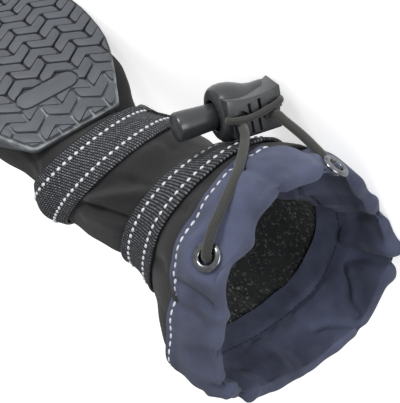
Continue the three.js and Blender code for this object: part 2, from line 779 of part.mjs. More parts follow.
const barPath = [
  inLock(-9, 2.4, LOCK_FACE - 1.2),
  inLock(-7.5, 2.6, LOCK_FACE + 0.9),
  inLock(-3, 2.9, LOCK_FACE + 2),
  inLock(3, 3.4, LOCK_FACE + 2),
  inLock(7.5, 3.9, LOCK_FACE + 0.9),
  inLock(9, 4, LOCK_FACE - 1.2),
];

function tubeGeometry(path, extra) {
  const curve = new THREE.CatmullRomCurve3(path, false, "centripetal");
  const r = CORD_DIAMETER / 2 + extra;
  const shape = new THREE.Shape();
  for (let i = 0; i < TUBE_SIDES; i++) {
    const a = (i / TUBE_SIDES) * Math.PI * 2;
    if (i) shape.lineTo(r * Math.cos(a), r * Math.sin(a));
    else shape.moveTo(r, 0);
  }
  const steps = Math.max(6, Math.round(curve.getLength() / (CORD_DIAMETER * 1.2)));
  return new THREE.ExtrudeGeometry(shape, { steps, extrudePath: curve, bevelEnabled: false });
}

function cordTube(path, extra) {
  const tube = tubeGeometry(path, extra);
  tube.deleteAttribute("normal");
  tube.deleteAttribute("uv");
  return solid(tube);
}

// Colours and finishes
const rubber = new THREE.MeshStandardMaterial({ color: 0x4a4e56, roughness: 0.75, metalness: 0 });
const shell = new THREE.MeshStandardMaterial({ color: 0x232223, roughness: 0.9, metalness: 0 });
const navy = new THREE.MeshStandardMaterial({ color: 0x3a3c55, roughness: 0.8, metalness: 0 });
const webbing = new THREE.MeshStandardMaterial({ color: 0x1e1e20, roughness: 0.85, metalness: 0 });
const foam = new THREE.MeshStandardMaterial({ color: 0x2a2b2c, roughness: 0.95, metalness: 0 });
const metal = new THREE.MeshStandardMaterial({ color: 0x4c4d50, roughness: 0.3, metalness: 1 });
const plastic = new THREE.MeshStandardMaterial({ color: 0x2a2c2d, roughness: 0.35, metalness: 0 });
const elastic = new THREE.MeshStandardMaterial({ color: 0x3c3d38, roughness: 0.8, metalness: 0 });

const standing = new THREE.Group();

function add(name, shape, material) {
  const geometry = shape.isBufferGeometry ? shape : geometryOf(shape);
  const mesh = new THREE.Mesh(geometry, material);
  mesh.name = name;
  standing.add(mesh);
  return mesh;
}

const ankleBand = { place: placeOf(ANKLE_STRAP_PLACE), tilt: ANKLE_STRAP_TILT, turn: ANKLE_STRAP_TURN };
const shaftBand = { place: placeOf(SHAFT_STRAP_PLACE), tilt: SHAFT_STRAP_TILT, turn: SHAFT_STRAP_TURN };

const soleMesh = add("outsole", outsole(), rubber);
add("upper", upper(), shell);
add("insole", insole(), foam);

let cuffSolid = cuff();
for (const { centre, normal } of [leftEyelet, rightEyelet]) {
  const room = disc(EYELET_HOLE / 2 + EYELET_WALL + GAP, (CUFF_CLOTH + GAP) * 2, facing(normal, centre));
  cuffSolid = cuffSolid.subtract(room);
}
const cuffMesh = add("collar_cuff", cuffSolid, navy);
add("strap_ankle", strap(ankleBand), webbing);
add("strap_ankle_tab", strapTab(ankleBand), webbing);
add("strap_shaft", strap(shaftBand), webbing);
add("eyelet_left", eyeletShape().applyMatrix4(facing(leftEyelet.normal, leftEyelet.centre)), metal);
add("eyelet_right", eyeletShape().applyMatrix4(facing(rightEyelet.normal, rightEyelet.centre)), metal);
const lockMesh = add("cord_lock_body", lockBody(), plastic);
add("cord_lock_button", lockButton(), plastic);
add("drawcord_left", tubeGeometry(leftPath, 0), elastic);
add("drawcord_right", tubeGeometry(rightPath, 0), elastic);
add("drawcord_bar", tubeGeometry(barPath, 0), elastic);

// The boot lies on its left side. The floor touches it at the edge of the sole, at the cuff and at the cord
// lock: from a first guess of the way down, the farthest points of the three give the floor's slope.
function farthest(mesh, down) {
  const at = mesh.geometry.attributes.position;
  const point = new THREE.Vector3();
  const best = new THREE.Vector3();
  let reach = -Infinity;
  for (let i = 0; i < at.count; i++) {
    point.fromBufferAttribute(at, i);
    if (point.dot(down) > reach) {
      reach = point.dot(down);
      best.copy(point);
    }
  }
  return best;
}

function wayDown() {
  const down = new THREE.Vector3(0.15, 0.98, -0.07).normalize();
  for (let turn = 0; turn < 8; turn++) {
    const lock = farthest(lockMesh, down);
    const edge = farthest(soleMesh, down).sub(lock);
    const rim = farthest(cuffMesh, down).sub(lock);
    const normal = edge.cross(rim).normalize();
    down.copy(normal.dot(down) < 0 ? normal.negate() : normal);
  }
  return down;
}

const up = wayDown().negate();
const ahead = new THREE.Vector3(1, 0, 0);
ahead.addScaledVector(up, -ahead.dot(up)).normalize();
const aside = up.clone().cross(ahead);
standing.quaternion.setFromRotationMatrix(new THREE.Matrix4().makeBasis(ahead, aside, up).transpose());
standing.updateMatrixWorld(true);

// The origin lies under the middle of the boot, without its cord
const bounds = new THREE.Box3();
standing.children
  .filter((mesh) => !mesh.name.startsWith("drawcord"))
  .forEach((mesh) => bounds.expandByObject(mesh, true));
const middle = bounds.getCenter(new THREE.Vector3());
standing.position.set(-middle.x, -middle.y, -bounds.min.z);

const group = new THREE.Group();
group.add(standing);

export default group;
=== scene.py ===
"""A dog boot lying on a floor: rubber sole, slack softshell shaft, two webbing straps and a gathered collar
with a drawcord and a cord lock. Lengths named here are millimetres in the standing boot's own axes: x to the
toe from the back edge of the sole, y to its left, z up from the ground."""
import json
import math

import bmesh
import bpy
import numpy as np
from mathutils import Matrix, Vector


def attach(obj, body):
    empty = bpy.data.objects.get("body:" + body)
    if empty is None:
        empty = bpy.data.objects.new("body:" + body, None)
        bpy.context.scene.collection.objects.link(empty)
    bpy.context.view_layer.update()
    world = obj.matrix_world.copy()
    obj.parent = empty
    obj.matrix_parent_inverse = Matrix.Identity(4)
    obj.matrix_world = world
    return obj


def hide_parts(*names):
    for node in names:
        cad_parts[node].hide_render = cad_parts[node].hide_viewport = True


bl_info = {
    "name": "Dog boot",
    "version": (1, 0, 0),
    "blender": (4, 5, 0),
    "location": "3D View > Sidebar > Dog boot",
    "description": "Builds a dog boot, its drawcord and its cord lock round a packed frame",
    "category": "Object",
}

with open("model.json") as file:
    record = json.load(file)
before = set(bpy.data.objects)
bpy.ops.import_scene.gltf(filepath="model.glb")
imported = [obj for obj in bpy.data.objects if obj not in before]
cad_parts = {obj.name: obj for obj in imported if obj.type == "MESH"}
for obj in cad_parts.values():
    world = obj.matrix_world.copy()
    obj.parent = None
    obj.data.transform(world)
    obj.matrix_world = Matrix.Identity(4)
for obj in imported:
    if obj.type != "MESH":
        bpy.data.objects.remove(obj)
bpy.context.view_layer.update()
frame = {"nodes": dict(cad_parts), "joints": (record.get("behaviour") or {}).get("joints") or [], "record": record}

MM = 0.001
BOOT = "boot"
BUTTON = "lock_button"

# The standing boot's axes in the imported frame, from the smooth pad on the sole and the button's travel
PAD = frame["record"]["mounts"][0]
PAD_FROM_HEEL = 20.4
PRESS = Vector(frame["joints"][0]["axis"]).normalized()
PRESS_IN_BOOT = Vector((-0.2, 0.977, 0.07)).normalized()
LEG = -Vector(PAD["axis"]).normalized()
LEVEL = PRESS - LEG * PRESS.dot(LEG)
TOE = (LEVEL * PRESS_IN_BOOT.x + LEVEL.cross(LEG) * PRESS_IN_BOOT.y).normalized()
LEFT = LEG.cross(TOE)
ORIGIN = Vector(PAD["pos_m"]) - TOE * PAD_FROM_HEEL * MM
AXES = np.array([TOE, LEFT, LEG])
PLACE = np.array(ORIGIN)

# The viewer's place and directions in the boot's axes
CAMERA_RIGHT = (-0.593, 0.805, 0.0159)
CAMERA_UP = (0.6538, 0.493, -0.574)
CAMERA_BACK = (-0.4699, -0.33, -0.8187)
CAMERA_PLACE = (-224.91, -105.73, -299.51)
CAMERA_LENS = 97.28
SENSOR_WIDTH = 36

# Sizes of the boot
SOLE_LENGTH = 80
BALL_WIDTH = 67
SOLE_PLATE = 1.7
LUG_HEIGHT = 1.5
TOE_SPRING = 3
SPRING_START = 0.62
INSTEP_HEIGHT = 37
UPPER_WALL = 2
HEEL_BULGE = 8
ANKLE_WIDTH = 52
ANKLE_DEPTH = 37
SHAFT_LENGTH = 103
RIM_WIDTH = 73
RIM_DEPTH = 73
SHAFT_SWING = 20
SHAFT_DROP = 25
SHAFT_START_HEIGHT = 18
BED = LUG_HEIGHT + SOLE_PLATE + 0.3
CUFF_DEPTH = 21
CASING_DEPTH = 15
STRAP_WIDTH = 18
STITCH_ROW = 4.8
EYELET_FROM_RIM = 7.8
EYELET_ANGLE = 46

# Sections: along, half, low, top, square, base, end, bulge
FOOT_ROWS = [
    (0.975, 0.06, 0.16, 0.30, 2.2, 2.2, 1.0, 0.0),
    (0.95, 0.29, 0.03, 0.48, 2.1, 2.6, 0.6, 0.0),
    (0.89, 0.55, 0.0, 0.64, 2.0, 3.4, 0.2, 0.0),
    (0.77, 0.835, 0.0, 0.79, 2.0, 4.0, 0.0, 0.0),
    (0.56, 0.935, 0.0, 0.90, 2.0, 4.0, 0.0, 0.2),
    (0.33, 0.82, 0.0, 0.98, 2.0, 4.0, 0.0, 1.0),
    (0.12, 0.615, 0.0, 1.04, 2.1, 3.4, 0.0, 1.1),
    (0.0, 0.58, 0.01, 1.06, 2.1, 2.8, 0.0, 0.9),
]
# Sections: along, half, sole, leg, swing, drop, dip, veer, wide, slack, crest
SHAFT_ROWS = [
    (0.06, 0.99, 0.98, 0.97, 0.10, 0.03, 4, 9, 0.0, 0.0, 0.0),
    (0.135, 0.96, 0.94, 0.93, 0.21, 0.10, 10, 12, 0.0, 0.0, 0.0),
    (0.23, 0.98, 1.06, 0.95, 0.33, 0.20, 14, 13, 0.0, 0.0, 0.0),
    (0.36, 0.98, 1.12, 0.94, 0.48, 0.33, 16, 12, 0.05, 0.0, 0.0),
    (0.47, 0.92, 1.0, 0.90, 0.61, 0.45, 17, 11, 0.12, 0.1, 0.0),
    (0.6, 0.96, 1.05, 0.96, 0.74, 0.60, 18, 9, 0.33, 0.35, 0.0),
    (0.74, 1.0, 1.0, 1.0, 0.82, 0.75, 19, 7, 0.7, 0.85, 0.0),
    (0.88, 1.0, 1.0, 1.0, 0.93, 0.89, 20, 5, 0.94, 1.0, 0.35),
    (1.0, 1.0, 1.0, 1.0, 1.0, 1.0, 20, 4, 1.0, 1.0, 1.0),
]
# How the collar hangs out of round, every 20 degrees from the left: at the cuff's edge, and at the rim
SLOUCH_BAND = np.array([
    0.97, 1, 1, 1, 0.95, 0.96, 1.02, 1.15, 1.27, 1.08, 1, 1.05, 1.06, 1.1, 1.15, 1.12, 1, 0.94,
])
SLOUCH_RIM = np.array([
    0.96, 1.04, 0.99, 1, 0.92, 0.92, 0.94, 1.05, 1.11, 1.02, 0.94, 1.04, 0.98, 1.13, 1.1, 1.06, 0.94, 0.9,
])


# The form: sections from the toe to the rim, and points on the cloth round them
def spring(x):
    t = np.clip((np.asarray(x) / SOLE_LENGTH - SPRING_START) / (1 - SPRING_START), 0, 1)
    return TOE_SPRING * t * t


def section_table():
    columns = "x y z dip veer half sole leg square base end slack crest bulge".split()
    rows = []
    for along, half, low, top, square, base, end, bulge in FOOT_ROWS:
        x = along * SOLE_LENGTH
        bottom = BED + low * INSTEP_HEIGHT + spring(x)
        height = top * INSTEP_HEIGHT + spring(x) - bottom
        rows.append((x, 0, bottom + 0.3 * height, 0, 0, half * BALL_WIDTH / 2, 0.3 * height, 0.7 * height,
                     square, base, end, 0, 0, bulge))
    for along, half, sole, leg, swing, drop, dip, veer, wide, slack, crest in SHAFT_ROWS:
        width = ANKLE_WIDTH + (RIM_WIDTH - ANKLE_WIDTH) * wide
        depth = ANKLE_DEPTH + (RIM_DEPTH - ANKLE_DEPTH) * wide
        rows.append((-along * SHAFT_LENGTH, swing * SHAFT_SWING, SHAFT_START_HEIGHT - drop * SHAFT_DROP,
                     dip, veer, half * width / 2, sole * depth / 2, leg * depth / 2, 2.1, 2.1, 0, slack,
                     crest, 0))
    return dict(zip(columns, np.array(rows, float).T))


SECTIONS = section_table()
RIM_PLACE = len(SECTIONS["x"]) - 1
ANKLE_PLACE = len(FOOT_ROWS)


def smooth_between(a, b, c, d, t):
    return b + 0.5 * t * (c - a + t * (2 * a - 5 * b + 4 * c - d + t * (3 * (b - c) + d - a)))


def between(key, place):
    place = np.asarray(place, float)
    row = np.minimum(place.astype(int), RIM_PLACE - 1)
    picks = [SECTIONS[key][np.clip(row + k, 0, RIM_PLACE)] for k in (-1, 0, 1, 2)]
    return smooth_between(*picks, place - row)


def unit(v):
    return v / np.linalg.norm(v, axis=-1, keepdims=True)


def frame_at(place):
    dip = np.radians(between("dip", place))
    veer = np.radians(between("veer", place))
    out = np.stack([-np.cos(dip) * np.cos(veer), np.cos(dip) * np.sin(veer), -np.sin(dip)], -1)
    left = unit(np.array([0.0, 1.0, 0.0]) - out * out[..., 1:2])
    leg = np.cross(left, out)
    centre = np.stack([between(k, place) for k in "xyz"], -1)
    return centre, out, left, leg


def slouch_at(angle, place):
    count = len(SLOUCH_RIM)
    step = (np.asarray(angle) / (2 * np.pi)) % 1 * count
    first = np.floor(step).astype(int)
    crest = between("crest", place)
    picks = []
    for k in (-1, 0, 1, 2):
        i = (first + k) % count
        picks.append(SLOUCH_BAND[i] + (SLOUCH_RIM[i] - SLOUCH_BAND[i]) * crest)
    return 1 + (smooth_between(*picks, step - first) - 1) * between("slack", place)


def smoothstep(x, low, high):
    t = np.clip((x - low) / (high - low), 0, 1)
    return t * t * (3 - 2 * t)


def form_point(place, angle, proud=0.0):
    """Points of the form at places and angles, standing proud of it by so many millimetres."""
    place, angle, proud = np.broadcast_arrays(np.asarray(place, float), angle, proud)
    centre, out, left, leg = frame_at(place)
    slack = slouch_at(angle, place)
    c, s = np.cos(angle), np.sin(angle)
    half = np.maximum(between("half", place) * slack + proud, 0.5)
    reach = np.where(s >= 0, between("leg", place), between("sole", place))
    reach = np.maximum(reach * slack + proud, 0.5)
    power = 2 / np.where(s >= 0, between("square", place), between("base", place))
    across = half * np.sign(c) * np.abs(c) ** power
    rise = reach * np.sign(s) * np.abs(s) ** power
    bulge = HEEL_BULGE * between("bulge", place) * smoothstep(rise / reach, -0.5, 0.15) * np.maximum(c, 0)
    along = -proud * between("end", place)
    return (centre + (across + bulge)[..., None] * left + rise[..., None] * leg + along[..., None] * out)


def place_of(share):
    places = np.linspace(ANKLE_PLACE, RIM_PLACE, 2000)
    return float(np.interp(share * SHAFT_LENGTH, -between("x", places), places))


def turned(vector, axis, angle):
    return np.array(Matrix.Rotation(math.radians(angle), 3, Vector(axis)) @ Vector(vector))


class Band:
    """A plane across the shaft at a share of its length, tilted about left and turned about leg."""

    def __init__(self, share, tilt=0, turn=0):
        self.place = place_of(share)
        centre, out, left, leg = (np.array(v) for v in frame_at(self.place))
        self.centre = centre
        self.out = turned(turned(out, left, tilt), leg, turn)
        self.left = turned(left, leg, turn)
        self.leg = unit(np.cross(self.left, self.out))

    def places(self, distances, angles, proud=0.0, reach=3.2):
        """For every distance from the plane and every angle, the place in the table that lies there."""
        steps = np.linspace(max(self.place - reach, 0), min(self.place + reach, RIM_PLACE), 160)
        grid = form_point(steps[:, None], angles[None], proud)
        heights = (grid - self.centre) @ self.out
        return np.stack([np.interp(distances, heights[:, i], steps) for i in range(len(angles))], 1)


ANKLE_BAND = Band(0.09, 28, 4)
SHAFT_BAND = Band(0.555, 16, 9)
RIM_BAND = Band(1.0)
UPPER_END = place_of(1 - CASING_DEPTH / SHAFT_LENGTH)


# Where the pull of the cord holds each eyelet, 1 on the left and -1 on the right, and how it leans
EYELETS = {1: (-88.9, 39.5, -37.9), -1: (-89.1, -8.3, -33.2)}
EYELET_LEAN = np.array(CAMERA_BACK) * 0.6


def eyelet_seat(side):
    """The centre of an eyelet and the way it faces, which the cord pulls round to the lock's side."""
    place = place_of(1 - EYELET_FROM_RIM / SHAFT_LENGTH)
    angle = -math.pi / 2 + side * math.radians(EYELET_ANGLE)
    around = unit(form_point(place, angle + 0.05) - form_point(place, angle - 0.05))
    middle, out, _, _ = frame_at(place)
    normal = unit(np.cross(around, out))
    if normal @ (form_point(place, angle) - middle) < 0:
        normal = -normal
    return np.array(EYELETS[side]), unit(normal + EYELET_LEAN)


# Meshes
SHARP_ANGLE = math.radians(35)


def to_world(points):
    return np.asarray(points, float) @ AXES * MM + PLACE


def way_to_world(vectors):
    return np.asarray(vectors, float) @ AXES


def crumple(points, size, seed, count=14):
    """A smooth random field from -1 to 1 over points, with lumps of about that size."""
    draw = np.random.default_rng(seed)
    ways = unit(draw.normal(size=(count, 3))) / size * draw.uniform(0.6, 1.6, (count, 1))
    phase = draw.uniform(0, 2 * np.pi, count)
    return np.sin(points @ ways.T * 2.2 + phase).mean(-1) * 2.2


def mesh_object(name, points, faces, uvs=None, smooth=True, in_boot=True):
    """An object from points in boot axes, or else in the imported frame, with its faces turned outwards."""
    points = to_world(points) if in_boot else np.asarray(points, float)
    mesh = bpy.data.meshes.new(name)
    mesh.from_pydata(points.tolist(), [], faces)
    if uvs is not None:
        layer = mesh.uv_layers.new(name="UVMap")
        layer.data.foreach_set("uv", np.asarray(uvs, np.float32).ravel())
    mesh.validate()
    if signed_volume(mesh) < 0:
        mesh.flip_normals()
    if smooth:
        mesh.shade_smooth()
    else:
        mesh.shade_flat()
    obj = bpy.data.objects.new(name, mesh)
    bpy.context.scene.collection.objects.link(obj)
    return obj


def signed_volume(mesh):
    mesh.calc_loop_triangles()
    places = np.zeros(len(mesh.vertices) * 3)
    mesh.vertices.foreach_get("co", places)
    places = places.reshape(-1, 3)
    places -= places.mean(0)
    corners = np.zeros(len(mesh.loop_triangles) * 3, np.int32)
    mesh.loop_triangles.foreach_get("vertices", corners)
    a, b, c = places[corners.reshape(-1, 3)].transpose(1, 0, 2)
    return float((a * np.cross(b, c)).sum() / 6)


def skin(name, grid, uv=None, closed_rows=False):
    """A closed surface over a grid of points [row, column]. Columns wrap round; rows end in caps, or wrap
    round too. uv is [row, column, 2] with one more row and column where they wrap."""
    rows, columns = grid.shape[:2]
    faces, corners = [], []
    if uv is None:
        uv = np.zeros((rows + 1, columns + 1, 2))
    for r in range(rows if closed_rows else rows - 1):
        below = ((r + 1) % rows) * columns
        for a in range(columns):
            b = (a + 1) % columns
            faces.append((r * columns + a, r * columns + b, below + b, below + a))
            corners += [uv[r, a], uv[r, a + 1], uv[r + 1, a + 1], uv[r + 1, a]]
    points = grid.reshape(-1, 3)
    if not closed_rows:
        points = np.vstack([points, grid[0].mean(0), grid[-1].mean(0)])
        for r, centre in ((0, rows * columns), (rows - 1, rows * columns + 1)):
            for a in range(columns):
                b = (a + 1) % columns
                ends = (r * columns + b, r * columns + a) if r == 0 else (r * columns + a, r * columns + b)
                faces.append((*ends, centre))
                corners += [uv[r, a], uv[r, a + 1], uv[r, a]]
    return mesh_object(name, points, faces, np.array(corners))


def run_along(points):
    """Millimetres run along a line of points."""
    return np.concatenate([[0], np.cumsum(np.linalg.norm(np.diff(points, axis=0), axis=1))])


def sampled(values, run, at):
    """A line's values where its run reaches the given lengths."""
    return np.stack([np.interp(at, run, values[:, k]) for k in range(3)], 1)


def line_distance(points, line):
    """The distance from points to a line through corners."""
    nearest = np.full(points.shape[:-1], np.inf)
    for a, b in zip(line[:-1], line[1:]):
        t = np.clip((points - a) @ (b - a) / ((b - a) @ (b - a)), 0, 1)
        nearest = np.minimum(nearest, np.linalg.norm(points - a - t[..., None] * (b - a), axis=-1))
    return nearest


def full_turn(count, offset=0.0):
    """Angles that share a turn evenly, the first one a part of a step from zero."""
    return (np.arange(count) + offset) / count * 2 * np.pi


def uv_grid(u, v):
    """The UV of a grid of points, with u along its rows and v down its columns."""
    return np.stack(np.broadcast_arrays(u[None, :], v[:, None]), -1)


def around_lengths(ring):
    """Millimetres run round a ring of points, with the closing step at the end."""
    steps = np.linalg.norm(np.roll(ring, -1, 0) - ring, axis=-1)
    return np.concatenate([[0], np.cumsum(steps)])


def lathe(name, profile, matrix, sides, sharp=None):
    """A turned shape round z from (radius, height) corners that start and end on the axis, or close."""
    angles = full_turn(sides)
    rings = []
    for radius, height in profile:
        rings.append(np.stack([radius * np.cos(angles), radius * np.sin(angles), np.full(sides, height)], 1))
    grid = np.array(rings)
    flat = grid.reshape(-1, 3)
    moved = flat @ np.array(matrix.to_3x3()).T + np.array(matrix.translation)
    grid = moved.reshape(grid.shape)
    closed = profile[0] == profile[-1]
    made = skin(name, grid[:-1] if closed else grid, closed_rows=closed)
    if sharp:
        made.data.set_sharp_from_angle(angle=math.radians(sharp))
    return made


def slab_points(outline, low, high):
    return [(x, y, z) for z in (low, high) for x, y in outline]


def slab_faces(count):
    faces = [tuple(range(count))[::-1], tuple(range(count, 2 * count))]
    for i in range(count):
        j = (i + 1) % count
        faces.append((i, j, count + j, count + i))
    return faces


def slab_mesh(name, outline, low, high, matrix):
    """A prism over an outline of (x, y) corners between two heights, placed by a matrix in boot axes."""
    points = np.array(slab_points(outline, low, high))
    points = points @ np.array(matrix.to_3x3()).T + np.array(matrix.translation)
    return mesh_object(name, points, slab_faces(len(outline)), smooth=False)


def settle(obj):
    """Applies every modifier of an object to its mesh."""
    graph = bpy.context.evaluated_depsgraph_get()
    mesh = bpy.data.meshes.new_from_object(obj.evaluated_get(graph), depsgraph=graph)
    old = obj.data
    obj.modifiers.clear()
    obj.data = mesh
    mesh.name = obj.name
    bpy.data.meshes.remove(old)
    return obj


def bevel(obj, width, segments, angle):
    """Rounds the edges that turn by more than an angle in degrees, by a width in millimetres."""
    mod = obj.modifiers.new("Rounded edges", "BEVEL")
    mod.width = width * MM
    mod.segments = segments
    mod.limit_method = "ANGLE"
    mod.angle_limit = math.radians(angle)
    mod.use_clamp_overlap = True
    mod.harden_normals = False
    settle(obj)
    for p in obj.data.polygons:
        p.use_smooth = True
    obj.data.set_sharp_from_angle(angle=SHARP_ANGLE)
    return obj


def cut(obj, *tools, operation="DIFFERENCE"):
    """Takes tools away from an object, or joins them to it, and removes them from the scene."""
    for tool in tools:
        mod = obj.modifiers.new("Cut", "BOOLEAN")
        mod.operation = operation
        mod.solver = "EXACT"
        mod.object = tool
        settle(obj)
        bpy.data.objects.remove(tool)
    return obj


def finish_piece(obj, material, body=BOOT, nodes=()):
    """Gives a piece its material and its body, and hides the nodes that it stands for."""
    obj.data.materials.clear()
    obj.data.materials.append(material)
    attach(obj, body)
    if nodes:
        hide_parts(*nodes)
    return obj


# Materials
def linear(code):
    parts = [int(code[i : i + 2], 16) / 255 for i in (0, 2, 4)]
    return tuple(p / 12.92 if p <= 0.04045 else ((p + 0.055) / 1.055) ** 2.4 for p in parts)


class Nodes:
    """Short calls for building a node tree."""

    def __init__(self, tree):
        self.tree = tree

    def add(self, kind, values=None, **settings):
        made = self.tree.nodes.new(kind)
        for key, value in settings.items():
            setattr(made, key, value)
        for key, value in (values or {}).items():
            socket = made.inputs[key]
            if isinstance(value, bpy.types.NodeSocket):
                self.tree.links.new(value, socket)
            else:
                socket.default_value = value
        return made

    def link(self, source, target):
        self.tree.links.new(source, target)

    def math(self, operation, a, b=0.0, c=None):
        values = {0: a, 1: b}
        if c is not None:
            values[2] = c
        return self.add("ShaderNodeMath", values, operation=operation).outputs[0]

    def mix(self, factor, a, b):
        made = self.add("ShaderNodeMix", data_type="RGBA")
        for index, value in ((0, factor), (6, a), (7, b)):
            if isinstance(value, bpy.types.NodeSocket):
                self.link(value, made.inputs[index])
            else:
                made.inputs[index].default_value = value
        return made.outputs[2]

    def noise(self, vector, scale, detail=3.0, roughness=0.55):
        values = {"Vector": vector, "Scale": scale, "Detail": detail, "Roughness": roughness}
        return self.add("ShaderNodeTexNoise", values).outputs["Fac"]

    def ramp(self, factor, low, high):
        """Runs a value from 0 at low to 1 at high."""
        values = {"Value": factor, "From Min": low, "From Max": high, "To Min": 0.0, "To Max": 1.0}
        return self.add("ShaderNodeMapRange", values, clamp=True).outputs[0]


def group(name, inputs, outputs):
    tree = bpy.data.node_groups.new(name, "ShaderNodeTree")
    for label, kind, default in inputs:
        made = tree.interface.new_socket(name=label, in_out="INPUT", socket_type=kind)
        if default is not None:
            made.default_value = default
    for label, kind in outputs:
        tree.interface.new_socket(name=label, in_out="OUTPUT", socket_type=kind)
    source = tree.nodes.new("NodeGroupInput")
    target = tree.nodes.new("NodeGroupOutput")
    return Nodes(tree), source.outputs, target.inputs


VECTOR, FLOAT, COLOUR = "NodeSocketVector", "NodeSocketFloat", "NodeSocketColor"


def mottle_group():
    """Colour that drifts between two tones, with fine specks of a third."""
    inputs = [("Vector", VECTOR, None)]
    inputs += [(label, COLOUR, None) for label in ("Base", "Drift", "Speck")]
    inputs += [("Drift Scale", FLOAT, 60.0), ("Speck Scale", FLOAT, 900.0), ("Specks", FLOAT, 0.3)]
    n, src, out = group("Mottle", inputs, [("Color", COLOUR), ("Speck Mask", FLOAT)])
    drift = n.ramp(n.noise(src["Vector"], src["Drift Scale"], 4), 0.35, 0.65)
    base = n.mix(drift, src["Base"], src["Drift"])
    speck = n.ramp(n.noise(src["Vector"], src["Speck Scale"], 2, 0.7), 0.58, 0.72)
    mask = n.math("MULTIPLY", speck, src["Specks"])
    n.link(n.mix(mask, base, src["Speck"]), out["Color"])
    n.link(mask, out["Speck Mask"])
    return n.tree


def weave_group():
    """A fine plain weave on surface millimetres: height of the yarns."""
    inputs = [("UV", VECTOR, None), ("Pitch U", FLOAT, 0.5), ("Pitch V", FLOAT, 0.5)]
    n, src, out = group("Weave", inputs, [("Height", FLOAT)])
    parts = n.add("ShaderNodeSeparateXYZ", {0: src["UV"]}).outputs
    waves = []
    for axis, pitch in ((0, "Pitch U"), (1, "Pitch V")):
        turn = n.math("DIVIDE", parts[axis], src[pitch])
        waves.append(n.math("SINE", n.math("MULTIPLY", turn, 2 * math.pi)))
    n.link(n.math("MULTIPLY_ADD", n.math("MULTIPLY", waves[0], waves[1]), 0.5, 0.5), out["Height"])
    return n.tree


def ribs_group():
    """Cross ribs of a narrow webbing on surface millimetres: u runs along it, v across."""
    inputs = [("UV", VECTOR, None), ("Rib", FLOAT, 1.1), ("Yarn", FLOAT, 0.55)]
    n, src, out = group("Webbing ribs", inputs, [("Height", FLOAT), ("Rib Top", FLOAT), ("Flecks", FLOAT)])
    wander = n.noise(src["UV"], 0.3, 2)
    parts = n.add("ShaderNodeSeparateXYZ", {0: src["UV"]}).outputs
    u = n.math("DIVIDE", n.math("ADD", parts[0], n.math("MULTIPLY", wander, 0.4)), src["Rib"])
    v = n.math("DIVIDE", n.math("ADD", parts[1], n.math("MULTIPLY", wander, 0.2)), src["Yarn"])
    rib = n.math("ABSOLUTE", n.math("SINE", n.math("MULTIPLY", u, math.pi)))
    yarn = n.math("ABSOLUTE", n.math("SINE", n.math("MULTIPLY", v, math.pi)))
    n.link(n.math("MULTIPLY_ADD", yarn, 0.4, n.math("MULTIPLY", rib, 0.6)), out["Height"])
    n.link(n.math("MULTIPLY", n.ramp(rib, 0.2, 0.7), n.ramp(yarn, 0.15, 0.5)), out["Rib Top"])
    cells = n.add("ShaderNodeCombineXYZ", {0: n.math("FLOOR", u), 1: n.math("FLOOR", v)}).outputs[0]
    random = n.add("ShaderNodeTexWhiteNoise", {"Vector": cells}, noise_dimensions="2D").outputs["Value"]
    spot = n.math("MULTIPLY", n.ramp(rib, 0.55, 0.95), n.ramp(yarn, 0.3, 0.85))
    n.link(n.math("MULTIPLY", spot, n.math("MULTIPLY_ADD", random, 0.7, 0.3)), out["Flecks"])
    return n.tree


GROUPS = {}


def shared(name):
    makers = {"Mottle": mottle_group, "Weave": weave_group, "Webbing ribs": ribs_group}
    if name not in GROUPS:
        GROUPS[name] = makers[name]()
    return GROUPS[name]


def new_material(name):
    """A material, its nodes, its Principled surface and its texture coordinates."""
    material = bpy.data.materials.new(name)
    material.use_nodes = True
    n = Nodes(material.node_tree)
    surface = material.node_tree.nodes["Principled BSDF"]
    return material, n, surface, n.add("ShaderNodeTexCoord").outputs


def placed_group(n, name, values):
    made = n.add("ShaderNodeGroup")
    made.node_tree = shared(name)
    for key, value in values.items():
        if isinstance(value, bpy.types.NodeSocket):
            n.link(value, made.inputs[key])
        else:
            made.inputs[key].default_value = value
    return made.outputs


def colour(values):
    return (*values[:3], 1.0)


def shade(values, factor):
    return tuple(v * factor for v in values[:3]) + (1.0,)


def bump(n, surface, height, distance, strength):
    """Bumps a surface by a height of so many millimetres."""
    values = {"Height": height, "Distance": distance * MM, "Strength": strength}
    n.link(n.add("ShaderNodeBump", values).outputs[0], surface.inputs["Normal"])


def set_surface(surface, values):
    for key, value in values.items():
        surface.inputs[key].default_value = value


def mottle(n, at, base, drift, speck, drift_scale, speck_scale, specks):
    values = {"Vector": at["Object"], "Base": colour(base), "Drift": colour(drift), "Speck": colour(speck),
              "Drift Scale": drift_scale, "Speck Scale": speck_scale, "Specks": specks}
    return placed_group(n, "Mottle", values)


def cloth_material(name, tone, pitch, rough, sheen, specks, fold_tone):
    """Plain-woven cloth, with its weave's pitch in millimetres."""
    material, n, surface, at = new_material(name)
    mottled = mottle(n, at, tone, shade(tone, fold_tone), shade(tone, 1.8), 45.0, 1500.0, specks)
    n.link(mottled["Color"], surface.inputs["Base Color"])
    weave = placed_group(n, "Weave", {"UV": at["UV"], "Pitch U": pitch, "Pitch V": pitch})
    grain = n.noise(at["Object"], 700.0, 2)
    height = n.math("ADD", n.math("MULTIPLY", weave["Height"], 0.5), grain)
    bump(n, surface, height, 0.2, 0.8)
    set_surface(surface, {"Roughness": rough, "Specular IOR Level": 0.25})
    set_surface(surface, {"Sheen Weight": sheen, "Sheen Roughness": 0.5})
    return material


